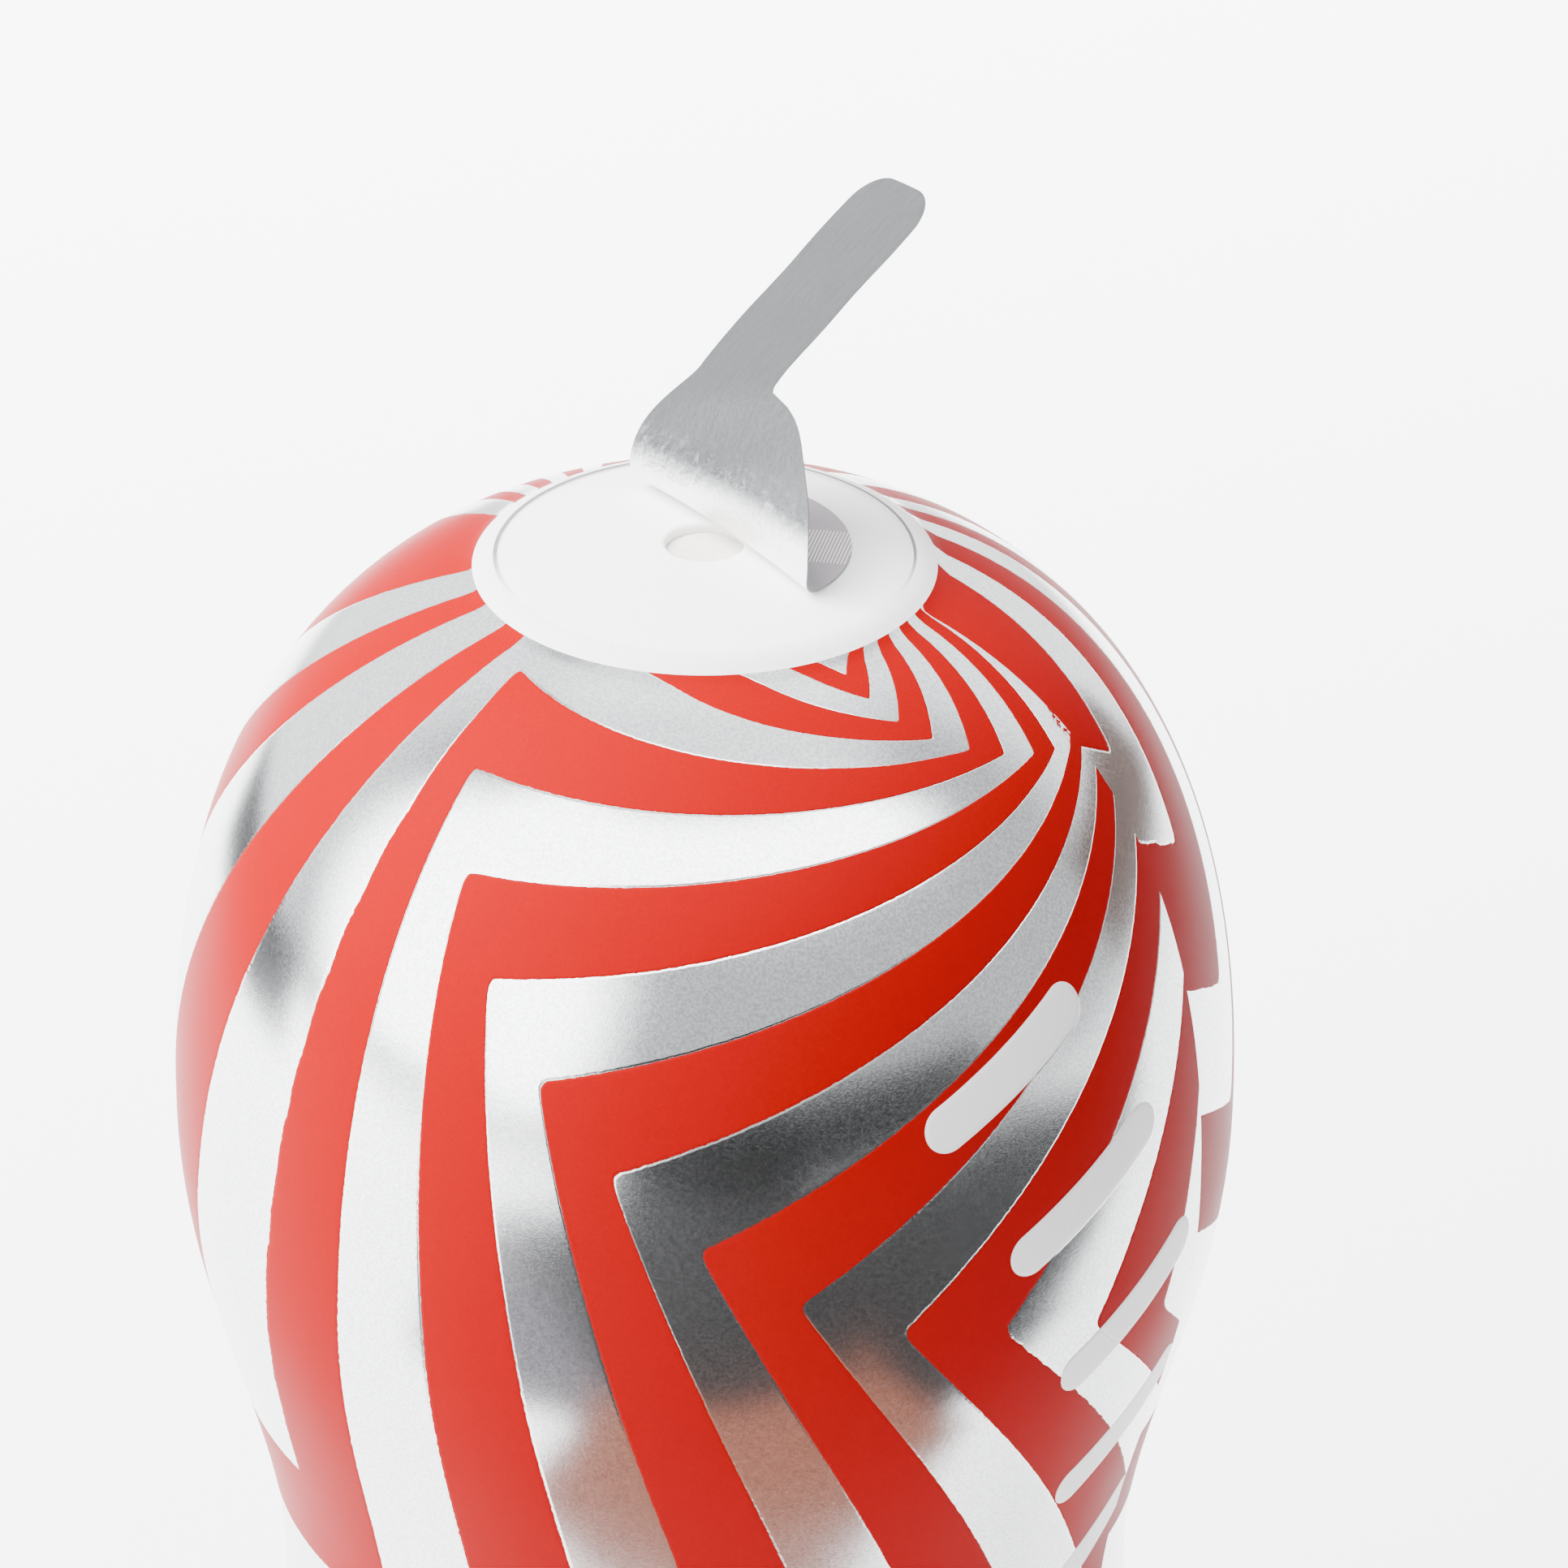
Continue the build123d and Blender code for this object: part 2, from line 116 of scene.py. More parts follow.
# ---- printed pattern: turn is in degrees from the front, depth in millimetres below the plate ----
SEAM = 66.0               # where the film's two ends lap
PRINT_TOP = 1.57          # clear border of the film above the print
EDGE_SHADE_DEPTH = 0.86          # the painted shade line of the film's cut edge reaches down to here
WAIST_DEPTH = (TOP - WAIST_HEIGHT) / MM
MIRROR = 0.9              # the print below the waist repeats the print above it, stretched
BAND_DEPTH = 51.5         # the bands of the waist cover the chevrons from here down
BAND_START, BAND_PITCH = 59.2, 8.6      # depth of their level 0, and millimetres to a level
FAR_LEVEL = 99            # beyond all lines
# Lines round the side and the back at the print's upper edge: (level, turn).
SIDE_LINES = ((0, -43.1), (1, -49.3), (5, -86.9), (5.6, -100))
SIDE_END = 5.5
BACK_LINES = (
    (5.2, -92), (6.15, -118.5), (13.5, -152), (19.5, -222),
    (22.5, -243), (25.3, -271), (26.3, -299), (40, -680),
)
BACK_SWEEP = 6.8          # degrees that those lines swing back, times the root of the depth
LEAST_PITCH = 3           # degrees between levels where the back lines press on the side lines
UP_END = -120             # turn where the short lines up to the plate stop
# Steps of the print before the seam: (depth, level), with their slope in millimetres per degree.
SHELVES = ((0, -26.5), (8.9, -25), (14.8, -24), (24.9, -23), (78, -17))
SHELF_START, SHELF_SLOPE = SEAM - 300, 0.27


def film_radius(height):
    """Outer radius of the film below the widest part of the bulb."""
    if height <= FOOT_WALL_TOP:
        return FOOT_RADIUS
    if height <= WAIST_HEIGHT:
        low, high, below, above = FOOT_WALL_TOP, WAIST_HEIGHT, FOOT_RADIUS, WAIST_RADIUS
    else:
        low, high, below, above = WAIST_HEIGHT, BULB_HEIGHT, WAIST_RADIUS, BULB_RADIUS
    share = (height - low) / (high - low)
    return below + (above - below) * (1 - math.cos(math.pi * share)) / 2


def film_outline(low, step=1.5 * MM):
    """Points of the film's outer surface as (radius, height), up to the plate's edge."""
    rows = math.ceil((BULB_HEIGHT - low) / step)
    points = [(film_radius(z), z) for z in np.linspace(low, BULB_HEIGHT, rows, endpoint=False)]
    lean_end = math.asin((SHOULDER_RADIUS / BULB_RADIUS) ** (DOME_FLAT_POWER / 2))
    for lean in np.linspace(math.pi / 2, lean_end, 36):
        radius = BULB_RADIUS * math.sin(lean) ** (2 / DOME_FLAT_POWER)
        side = max(1 - (radius / BULB_RADIUS) ** DOME_FLAT_POWER, 0.0)
        points.append((radius, BULB_HEIGHT + (TOP - BULB_HEIGHT) * side ** (1 / DOME_SIDE_POWER)))
    for radius in np.linspace(SHOULDER_RADIUS, PLATE_RADIUS, 5)[1:]:
        share = (SHOULDER_RADIUS - radius) / (SHOULDER_RADIUS - PLATE_RADIUS)
        end = TOP - PLATE_CROWN + FILM_STEP
        points.append((radius, points[-1][1] + (end - points[-1][1]) * share))
    return points


def inset(points, depth):
    """The same outline, moved inwards along its own normals."""
    moved = []
    for i, (r, z) in enumerate(points):
        before, after = points[max(i - 1, 0)], points[min(i + 1, len(points) - 1)]
        along = Vector((after[0] - before[0], after[1] - before[1])).normalized()
        moved.append((r - depth * along.y, z + depth * along.x))
    return moved


def crown(radius, level=0.0):
    """Height of the crowned top plate at a radius, moved up by a level."""
    return TOP - CROWN_RADIUS + math.sqrt((CROWN_RADIUS + level) ** 2 - radius**2)


# ---------------------------------------------------------------- materials


class Value:
    """A shader socket that Python's operators work on."""

    def __init__(self, shader, socket):
        self.shader, self.socket = shader, socket

    def maths(self, operation, *others, **settings):
        return self.shader.node("Math", {"operation": operation, **settings}, self, *others)

    def __add__(self, other):
        return self.maths("ADD", other)

    def __sub__(self, other):
        return self.maths("SUBTRACT", other)

    def __mul__(self, other):
        return self.maths("MULTIPLY", other)

    def __rsub__(self, other):
        return self.shader.node("Math", {"operation": "SUBTRACT"}, other, self)

    __radd__ = __add__
    __rmul__ = __mul__

    def __lt__(self, other):
        return self.maths("LESS_THAN", other)

    def __abs__(self):
        return self.maths("ABSOLUTE")

    def ramp(self, low, high, start=0.0, end=1.0):
        """Smooth step from start to end as the value goes from low to high."""
        settings = {"interpolation_type": "SMOOTHSTEP"}
        return self.shader.node("MapRange", settings, self, low, high, start, end)


class Shader:
    """A principled material that is filled in by expressions."""

    def __init__(self, name, **flat):
        self.material = bpy.data.materials.new(name)
        self.material.use_nodes = True
        self.tree = self.material.node_tree
        self.surface = self.tree.nodes["Principled BSDF"]
        for key, value in flat.items():
            self.surface.inputs[key.replace("_", " ")].default_value = value

    def node(self, kind, settings=None, *values, out=0, **named):
        """One node: its settings first, then its inputs in order or by name, as values or links."""
        made = self.tree.nodes.new("ShaderNode" + kind)
        for key, value in (settings or {}).items():
            setattr(made, key, value)
        for key, value in [*enumerate(values), *named.items()]:
            socket = made.inputs[key if isinstance(key, int) else key.replace("_", " ")]
            self.feed(socket, value)
        return Value(self, made.outputs[out])

    def feed(self, socket, value):
        if isinstance(value, Value):
            self.tree.links.new(value.socket, socket)
        else:
            socket.default_value = value

    def set(self, name, value):
        self.feed(self.surface.inputs[name], value)

    def place(self):
        return self.node("TexCoord", out="Object")

    def attribute(self, name):
        return self.node("Attribute", {"attribute_name": name}, out="Fac")

    def noise(self, scale, detail=2.0, roughness=0.5, at=None):
        """Fine or coarse mottling, with scale in features per metre."""
        inputs = {"Vector": at or self.place(), "Scale": scale}
        return self.node("TexNoise", None, Detail=detail, Roughness=roughness, **inputs)

    def mix(self, factor, first, second):
        """Colour between two colours or links."""
        made = self.tree.nodes.new("ShaderNodeMix")
        made.data_type = "RGBA"
        for index, value in ((0, factor), (6, first), (7, second)):
            self.feed(made.inputs[index], value)
        return Value(self, made.outputs[2])

    def bump(self, height, distance, strength=1.0, over=None):
        """Relief of a height from 0 to 1, its distance in metres, over another relief if given."""
        inputs = {"Height": height, "Distance": distance, "Strength": strength}
        if over:
            inputs["Normal"] = over
        return self.node("Bump", None, **inputs)


def capsule(across, down, start, end, radius):
    """Distance outside a round-ended bar between two points, given as (across, down)."""
    run, fall = end[0] - start[0], end[1] - start[1]
    square = run * run + fall * fall
    share = (across - start[0]) * (run / square) + (down - start[1]) * (fall / square)
    share = share.maths("ADD", 0.0, use_clamp=True)
    x = across - start[0] - share * run
    y = down - start[1] - share * fall
    return (x * x + y * y).maths("SQRT") - radius


# Plain white bars on the print: (across, depth) of each bar's two ends, in millimetres round the
# film from its front and below the plate.
ARC_PER_DEGREE = 0.585
BARS = (
    ((15.5, 24.8), (25.5, 20.2)),
    ((21.0, 35.0), (31.0, 30.4)),
    ((25.5, 45.8), (35.5, 41.2)),
    ((28.0, 57.0), (37.5, 52.6)),
    ((29.5, 68.0), (38.0, 64.0)),
)
BAR_RADIUS = 1.55


def print_level(shader, depth):
    """Level of the print: each whole number is the edge between a red and a silver line."""
    mirrored = depth.maths("MINIMUM", WAIST_DEPTH * (1 + MIRROR) - MIRROR * depth)
    ragged = (shader.noise(2600, 3, 0.6) - 0.5) * 0.03
    falling = shader.attribute("print_fall")
    rising = shader.attribute("print_rise").maths("SMOOTH_MAX", shader.attribute("print_up"), 0.2)
    chevrons = falling.maths("SMOOTH_MIN", rising, 0.28)
    bands = (mirrored - BAND_START) * (1 / BAND_PITCH)
    above = (mirrored < BAND_DEPTH) * FAR_LEVEL
    return chevrons.maths("MAXIMUM", bands - above) + ragged


def outside_bars(turn, depth):
    """Distance in millimetres outside the nearest white bar."""
    across, nearest = turn * ARC_PER_DEGREE, None
    for start, end in BARS:
        distance = capsule(across, depth, start, end, BAR_RADIUS)
        nearest = distance if nearest is None else nearest.maths("MINIMUM", distance)
    return nearest


def film_material(sizes):
    """Shrink film printed in satin red over metallic silver, with a clear border, white bars and a
    painted shade line along the border's cut edge.
    """
    shader = Shader("printed_film", Specular_IOR_Level=0.02, Coat_Roughness=0.2, Coat_IOR=1.4)
    height = shader.node("SeparateXYZ", None, shader.place(), out="Z")
    depth = (TOP - height) * (1 / MM)
    turn = shader.attribute("print_turn")
    level = print_level(shader, depth)
    red = (level * 0.5).maths("FRACT") < 0.5
    edge = 0.5 - abs(level.maths("FRACT") - 0.5)
    rim = edge.ramp(0.012, 0.05, 1.0, 0.0)
    bars = outside_bars(turn, depth)
    white = bars < 0.0
    clear = (depth < PRINT_TOP).maths("MAXIMUM", white)
    inked = 1 - clear

    grain = shader.noise(5200, 2, 0.7)
    cloud = shader.noise(90, 3, 0.5)
    flakes = grain.ramp(0.3, 0.7)
    red_tone = shader.mix(grain, (*sizes.red_dark, 1), (*sizes.red_light, 1))
    silver_tone = shader.mix(flakes, (*sizes.silver_dark, 1), (*sizes.silver_light, 1))
    silver_tone = shader.mix(rim * 0.5, silver_tone, (0.80, 0.80, 0.80, 1))
    ink = shader.mix(red, silver_tone, red_tone)
    # Painted shade: the film's cut edge is drawn as a dark line at the sides and the back, fading out
    # towards the front.
    edge_shade_aside = (turn * math.radians(1)).maths("COSINE").ramp(-0.05, 0.5, 1.0, 0.0)
    cut_edge_shade = (depth < EDGE_SHADE_DEPTH) * edge_shade_aside
    bare = shader.mix(white, (0.79, 0.755, 0.76, 1), (0.69, 0.655, 0.66, 1))
    # painted shade colour of the cut edge laid over the bare film
    bare = shader.mix(cut_edge_shade, bare, (0.16, 0.15, 0.16, 1))
    shader.set("Base Color", shader.mix(clear, ink, bare))
    shader.set("Metallic", inked * (1 - red))
    satin = red.maths("MULTIPLY_ADD", 0.2, 0.17) + (cloud - 0.5) * 0.05 + (grain - 0.5) * 0.04
    shader.set("Roughness", satin * inked + clear * 0.3)
    shader.set("Coat Weight", clear * 0.25)

    pile = shader.bump(shader.noise(9000, 2, 0.7), 0.000012, 0.35)
    step = shader.bump(edge.ramp(0.0, 0.03), 0.00004, 0.6, pile)
    wave = shader.bump(shader.noise(70, 1, 0.4), 0.0006, 0.35, step)
    shader.set("Normal", shader.bump(bars.ramp(-0.35, 0.1, 1.0, 0.0), 0.0001, 0.8, wave))
    return shader.material


def plastic_material(name, colour, roughness=0.32, milky=0.25):
    """Moulded plastic with a faint orange peel; milky plastic lets light into its skin."""
    shader = Shader(name, Subsurface_Weight=milky, Subsurface_Scale=0.003, Specular_IOR_Level=0.5)
    shader.surface.inputs["Subsurface Radius"].default_value = (1.0, 0.75, 0.6)
    mottle = shader.noise(60, 3, 0.5)
    darker = tuple(0.965 * c for c in colour)
    shader.set("Base Color", shader.mix(mottle, (*darker, 1), (*colour, 1)))
    fine = shader.noise(1800, 2, 0.6)
    shader.set("Roughness", fine * 0.1 + mottle * 0.06 + (roughness - 0.08))
    peel = shader.bump(shader.noise(420, 2, 0.5), 0.00005, 0.25)
    shader.set("Normal", shader.bump(fine, 0.00001, 0.3, peel))
    return shader.material


def foil_shader(name):
    """A foil material on the flat foil, its lengths along and beside the fold, and its grain."""
    shader = Shader(name, Specular_IOR_Level=0.5)
    flat = shader.node("UVMap", {"uv_map": "flat"})
    along = shader.node("SeparateXYZ", None, flat, out="X")
    beside = shader.node("SeparateXYZ", None, flat, out="Y")
    return shader, flat, along, beside, shader.noise(2600, 4, 0.75, flat)


def creased(shader, flat, relief):
    """The finished foil: its relief over the soft creases of the whole sheet."""
    shader.set("Normal", shader.bump(shader.noise(260, 3, 0.6, flat), 0.0003, 0.3, relief))
    return shader.material


def foil_printed_material():
    """Upper side of the foil: dull print with a finely hatched band."""
    shader, flat, along, beside, spark = foil_shader("foil_printed")
    hatch = ((along + beside) * HATCH).maths("SINE").ramp(-0.3, 0.5)
    across = (FOLD_OFFSET - along) * HATCH_ACROSS[0] + beside * HATCH_ACROSS[1]
    band = abs(across * (1 / MM) + 0.45).ramp(2.1, 2.2, 1.0, 0.0)
    tint = shader.mix(spark, (0.24, 0.22, 0.235, 1), (0.30, 0.275, 0.29, 1))
    bright = shader.mix(hatch, (0.22, 0.20, 0.21, 1), (0.60, 0.575, 0.56, 1))
    shader.set("Base Color", shader.mix(band, tint, bright))
    shader.set("Metallic", band * 0.1 + 0.35)
    shader.set("Roughness", spark * 0.12 + 0.36)
    return creased(shader, flat, shader.bump(spark, 0.00003, 0.4))


def foil_bare_material():
    """Under side of the foil: grey metal, streaked lengthwise and crackled beside the roll, with
    painted highlights in patches there and a painted highlight over the roll.
    """
    shader, flat, along, _, spark = foil_shader("foil_bare")
    from_fold = along * (1 / MM)
    # Band beside the roll: it carries painted highlight patches, a smoother finish and the crackle
    # relief.
    highlight_and_crackle_band = abs(from_fold - 4.5).ramp(0.3, 3.5, 1.0, 0.0)
    patches = shader.noise(700, 4, 0.8, flat)
    lengthwise = shader.node("VectorMath", {"operation": "MULTIPLY"}, flat, (0.12, 1, 1))
    streaks = shader.noise(3200, 3, 0.7, lengthwise)
    grey = spark * 0.5 + streaks * 0.5
    tint = shader.mix(grey, (0.08, 0.085, 0.09, 1), (0.20, 0.21, 0.215, 1))
    # Painted highlights: bright patches in that band.
    tint = shader.mix(patches.ramp(0.50, 0.70) * highlight_and_crackle_band, tint, (0.50, 0.51, 0.52, 1))
    # Painted highlight over the roll: the base colour turns almost white there.
    roll_highlight = (from_fold + patches * 1.2).ramp(4.2, 6.4, 1.0, 0.0)
    shader.set("Base Color", shader.mix(roll_highlight, tint, (0.93, 0.93, 0.93, 1)))
    shader.set("Metallic", 0.9)
    shader.set("Roughness", spark * 0.16 + highlight_and_crackle_band * -0.06 + 0.30)
    fine = shader.bump(spark, 0.00006, 0.7)
    crackle = shader.noise(1500, 2, 0.5, flat) * highlight_and_crackle_band
    return creased(shader, flat, shader.bump(crackle, 0.0002, 0.7, fine))


def foam_material(name, light, dark, cells):
    """Open-cell foam: small rounded pits all over, each darkened towards its middle as painted shade.
    """
    shader = Shader(name, Subsurface_Weight=0.1, Subsurface_Scale=0.002, Specular_IOR_Level=0.2)
    place = shader.place()
    settings = {"feature": "SMOOTH_F1"}
    pits = shader.node("TexVoronoi", settings, Vector=place, Scale=cells, Smoothness=0.4)
    # Painted shade: pit centres get the dark colour; the same mask is the pits' relief below.
    depth = pits.ramp(0.1, 0.55, 1.0, 0.0)
    pit_shaded_tone = shader.mix(depth, (*light, 1), (*dark, 1))
    cloud = shader.noise(120, 2, 0.5)
    shader.set("Base Color", shader.mix(cloud * 0.25, pit_shaded_tone, (*light, 1)))
    shader.set("Roughness", cloud * 0.1 + 0.85)
    shader.set("Normal", shader.bump(depth, 0.0004, -0.8))
    return shader.material


def elastomer_material(colour):
    """Soft milky elastomer with a wet-looking skin."""
    shader = Shader("elastomer", Subsurface_Weight=0.5, Subsurface_Scale=0.004)
    shader.set("Specular IOR Level", 0.5)
    shader.surface.inputs["Subsurface Radius"].default_value = (1.0, 0.7, 0.5)
    cloud = shader.noise(80, 3, 0.5)
    darker = tuple(0.93 * c for c in colour)
    shader.set("Base Color", shader.mix(cloud, (*darker, 1), (*colour, 1)))
    shader.set("Roughness", shader.noise(900, 2, 0.5) * 0.14 + 0.3)
    shader.set("Normal", shader.bump(shader.noise(500, 2, 0.5), 0.00006, 0.3))
    return shader.material


# ---------------------------------------------------------------- modelling helpers


def deselect():
    if bpy.context.object and bpy.context.object.mode != "OBJECT":
        bpy.ops.object.mode_set(mode="OBJECT")
    bpy.ops.object.select_all(action="DESELECT")


def turned(name, section, steps=160, smooth_angle=30.0):
    """A body turned about Z from its section, a list of (radius, height) that runs anticlockwise.

    A section that starts and ends on the axis stays open there.
    """
    deselect()
    bpy.ops.mesh.primitive_circle_add(vertices=len(section), radius=MM, fill_type="NOTHING")
    piece = bpy.context.object
    piece.name = piece.data.name = name
    for vertex, (radius, height) in zip(piece.data.vertices, section):
        vertex.co = (radius, 0.0, height)
    open_section = section[0][0] < 1e-9 and section[-1][0] < 1e-9
    if open_section:
        closing = {0, len(section) - 1}
        for edge in piece.data.edges:
            edge.select = set(edge.vertices) == closing
        for vertex in piece.data.vertices:
            vertex.select = False
        bpy.ops.object.mode_set(mode="EDIT")
        bpy.ops.mesh.select_mode(type="EDGE")
        bpy.ops.mesh.delete(type="EDGE")
        bpy.ops.object.mode_set(mode="OBJECT")
    bpy.ops.object.mode_set(mode="EDIT")
    bpy.ops.mesh.select_mode(type="VERT")
    bpy.ops.mesh.select_all(action="SELECT")
    bpy.ops.mesh.spin(steps=steps, angle=2 * math.pi, center=(0, 0, 0), axis=(0, 0, 1))
    bpy.ops.mesh.select_all(action="SELECT")
    bpy.ops.mesh.remove_doubles(threshold=1e-6)
    bpy.ops.mesh.normals_make_consistent(inside=False)
    bpy.ops.object.mode_set(mode="OBJECT")
    bpy.ops.object.shade_smooth_by_angle(angle=math.radians(smooth_angle))
    return piece


def soften(piece, width, segments=2, angle=30.0):
    """Rounds the sharp edges of a piece."""
    bevel = piece.modifiers.new("Edges", "BEVEL")
    bevel.width, bevel.segments = width, segments
    bevel.limit_method, bevel.angle_limit = "ANGLE", math.radians(angle)
    bevel.use_clamp_overlap = True
    bpy.context.view_layer.objects.active = piece
    piece.select_set(True)
    bpy.ops.object.modifier_apply(modifier=bevel.name)
    bpy.ops.object.shade_smooth_by_angle(angle=math.radians(angle))


def hand_over(piece, body, slot, material, *nodes):
    """Gives a finished piece its material and its body, and hides the CAD nodes that it stands for.
    """
    piece.data.materials.append(material)
    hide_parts(*nodes)
    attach(piece, body)
    return piece


def arc(centre, radius, start, end, steps):
    """Points of an arc as (radius, height), between two angles in degrees."""
    angles = np.radians(np.linspace(start, end, steps))
    return [(centre[0] + radius * math.cos(a), centre[1] + radius * math.sin(a)) for a in angles]


def pad_piece(name, node, body, slot, material, round_over):
    """A round foam pad that fills its node's box, with soft edges and a crowned top."""
    low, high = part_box(node)
    radius, crowning = high.x, 0.15 * MM
    rings = np.linspace(0, radius - round_over, 12)
    top = [(r, high.z - crowning * (r / radius) ** 2) for r in rings]
    section = [(r, low.z) for r in rings]
    section += arc((radius - round_over, low.z + round_over), round_over, -90, 0, 6)[1:]
    section += arc((radius - round_over, high.z - crowning - round_over), round_over, 0, 90, 6)
    pad = turned(name, section + top[::-1][1:], 96, 60)
    hand_over(pad, body, slot, material, node)


def ease(share):
    """Smooth step from 0 to 1."""
    share = np.clip(share, 0, 1)
    return share * share * (3 - 2 * share)


def smooth_max(first, second, reach):
    """The larger of two lengths, rounded over where they are close."""
    gap = max(reach - abs(first - second), 0) / reach
    return max(first, second) + gap * gap * reach / 4


# ---------------------------------------------------------------- printed pattern


def corner(levels):
    """Turn and depth where each level's falling line meets its long upper arm."""
    inner, outer = np.maximum(levels, 0), np.minimum(levels, 0)
    turn = -43.3 + 4.51 * inner + 0.434 * inner**2 + 3.5 * outer
    bent = np.minimum(inner, 9)
    depth = 2.5 + 3.1 * outer + 3.19 * bent + 0.554 * bent**2 - 0.0497 * bent**3 + 3 * (inner - bent)
    return turn, depth


def print_fall(turn, depth):
    """Level of the lines that run down the film, over turns at one depth."""
    levels = np.arange(-40.0, 17.0, 0.1)
    outer, inner = np.maximum(-levels, 0), np.maximum(levels, 0)
    below = max(depth - PRINT_TOP, 0.0)
    side = np.interp(outer, *zip(*SIDE_LINES))
    side += 0.8 * (1 + np.cos(np.pi * outer)) * np.minimum(outer, 1)
    side -= (0.55 + 0.49 * outer) * below**0.82
    side_end = np.interp(SIDE_END, outer[::-1], side[::-1])
    back = np.interp(outer, *zip(*BACK_LINES)) - BACK_SWEEP * math.sqrt(below)
    back = np.minimum(back, side_end - LEAST_PITCH * (outer - SIDE_END))
    corner_turn, corner_depth = corner(inner)
    front = corner_turn + (-0.255 + 0.157 * inner + 0.004 * inner**2) * (depth - corner_depth)
    lines = np.where(outer > SIDE_END, back, side)
    lines = np.where(levels < 0, np.minimum(lines, np.interp(0, levels, front)), front)
    return np.interp(turn, np.maximum.accumulate(lines), levels)


def print_rise(turn, depths):
    """Level of the long upper arms of the chevrons, over depths at one turn."""
    levels = np.arange(-10.0, 12.3, 0.1)
    corner_turn, corner_depth = corner(levels)
    at_seam = 6.6 + 0.35 * np.exp(0.39 * levels)
    share = (turn - corner_turn) / (SEAM - corner_turn)
    lines = corner_depth + (at_seam - corner_depth) * share
    return np.interp(depths, np.maximum.accumulate(lines), levels)


def print_up(turn, depth):
    """Level of the short lines that run up to the plate beside the seam, over turns at one depth."""
    back = np.arange(12.0, -1.05, -0.1)
    lines = SEAM - 3.5 * back - 0.13 * back**2 - (0.8 + 0.1 * back + 0.1 * back**2) * (depth - 1.9)
    return np.interp(turn, np.maximum.accumulate(lines), 3 - back)


def print_on(piece):
    """Writes the pattern's levels on every face corner of a film piece."""
    mesh = piece.data
    corners = len(mesh.loops)
    vertex = np.zeros(corners, int)
    mesh.loops.foreach_get("vertex_index", vertex)
    places = np.zeros(len(mesh.vertices) * 3)
    mesh.vertices.foreach_get("co", places)
    places = places.reshape(-1, 3)[vertex]
    middle = np.zeros(len(mesh.polygons) * 3)
    mesh.polygons.foreach_get("center", middle)
    middle = middle.reshape(-1, 3)
    sizes = np.zeros(len(mesh.polygons), int)
    mesh.polygons.foreach_get("loop_total", sizes)
    face_turn = np.repeat(np.degrees(np.arctan2(middle[:, 0], -middle[:, 1])), sizes)
    face_turn = np.where(face_turn > SEAM, face_turn - 360, face_turn)
    turn = np.degrees(np.arctan2(places[:, 0], -places[:, 1]))
    turn = turn + 360 * np.round((face_turn - turn) / 360)
    depth = (TOP - places[:, 2]) / MM
    depth = np.minimum(depth, WAIST_DEPTH - MIRROR * (depth - WAIST_DEPTH))
    fall, rise, up = np.zeros(corners), np.zeros(corners), np.zeros(corners)
    # the film is a grid, so each level is worked out once for a row or a column of it
    for level in np.unique(depth.round(3)):
        row = np.abs(depth - level) < 0.002
        fall[row] = print_fall(turn[row], level)
        up[row] = print_up(turn[row], level)
    for column in np.unique(turn.round(2)):
        line = np.abs(turn - column) < 0.02
        rise[line] = print_rise(column, depth[line])
    beyond = face_turn < SHELF_START
    shelf = np.interp(depth - SHELF_SLOPE * (turn - SEAM + 360), *zip(*SHELVES))
    up = np.where(beyond, shelf, np.where(face_turn < UP_END, -FAR_LEVEL, up))
    rise = np.where(beyond, fall, rise)
    fall = np.where(beyond, FAR_LEVEL, fall)
    for name, values in (("fall", fall), ("rise", rise), ("up", up), ("turn", turn)):
        layer = mesh.attributes.new("print_" + name, "FLOAT", "CORNER")
        layer.data.foreach_set("value", values.astype(np.float32))


# ---------------------------------------------------------------- sizes a user would change


class CupSizes(bpy.types.PropertyGroup):
    """Sizes and colours of the cup's visible pieces."""

    red_light: bpy.props.FloatVectorProperty(
        name="Red, light", description="Lighter grain of the red ink",
        subtype="COLOR", default=(0.25, 0.0, 0.001),
    )
    red_dark: bpy.props.FloatVectorProperty(
        name="Red, dark", description="Darker grain of the red ink",
        subtype="COLOR", default=(0.20, 0.0, 0.001),
    )
    silver_light: bpy.props.FloatVectorProperty(
        name="Silver, light", description="Lighter grain of the silver ink",
        subtype="COLOR", default=(0.86, 0.87, 0.88),
    )
    silver_dark: bpy.props.FloatVectorProperty(
        name="Silver, dark", description="Darker grain of the silver ink",
        subtype="COLOR", default=(0.58, 0.59, 0.61),
    )
    shell: bpy.props.FloatVectorProperty(
        name="Shell", description="White plastic of the shells",
        subtype="COLOR", default=(0.90, 0.895, 0.885),
    )
    film_columns: bpy.props.IntProperty(
        name="Film columns", description="Faces round the film",
        default=288, min=48, max=480,
    )
    foil: bpy.props.FloatProperty(
        name="Foil", description="Thickness of the seal's foil",
        default=0.08 * MM, unit="LENGTH", precision=5,
    )


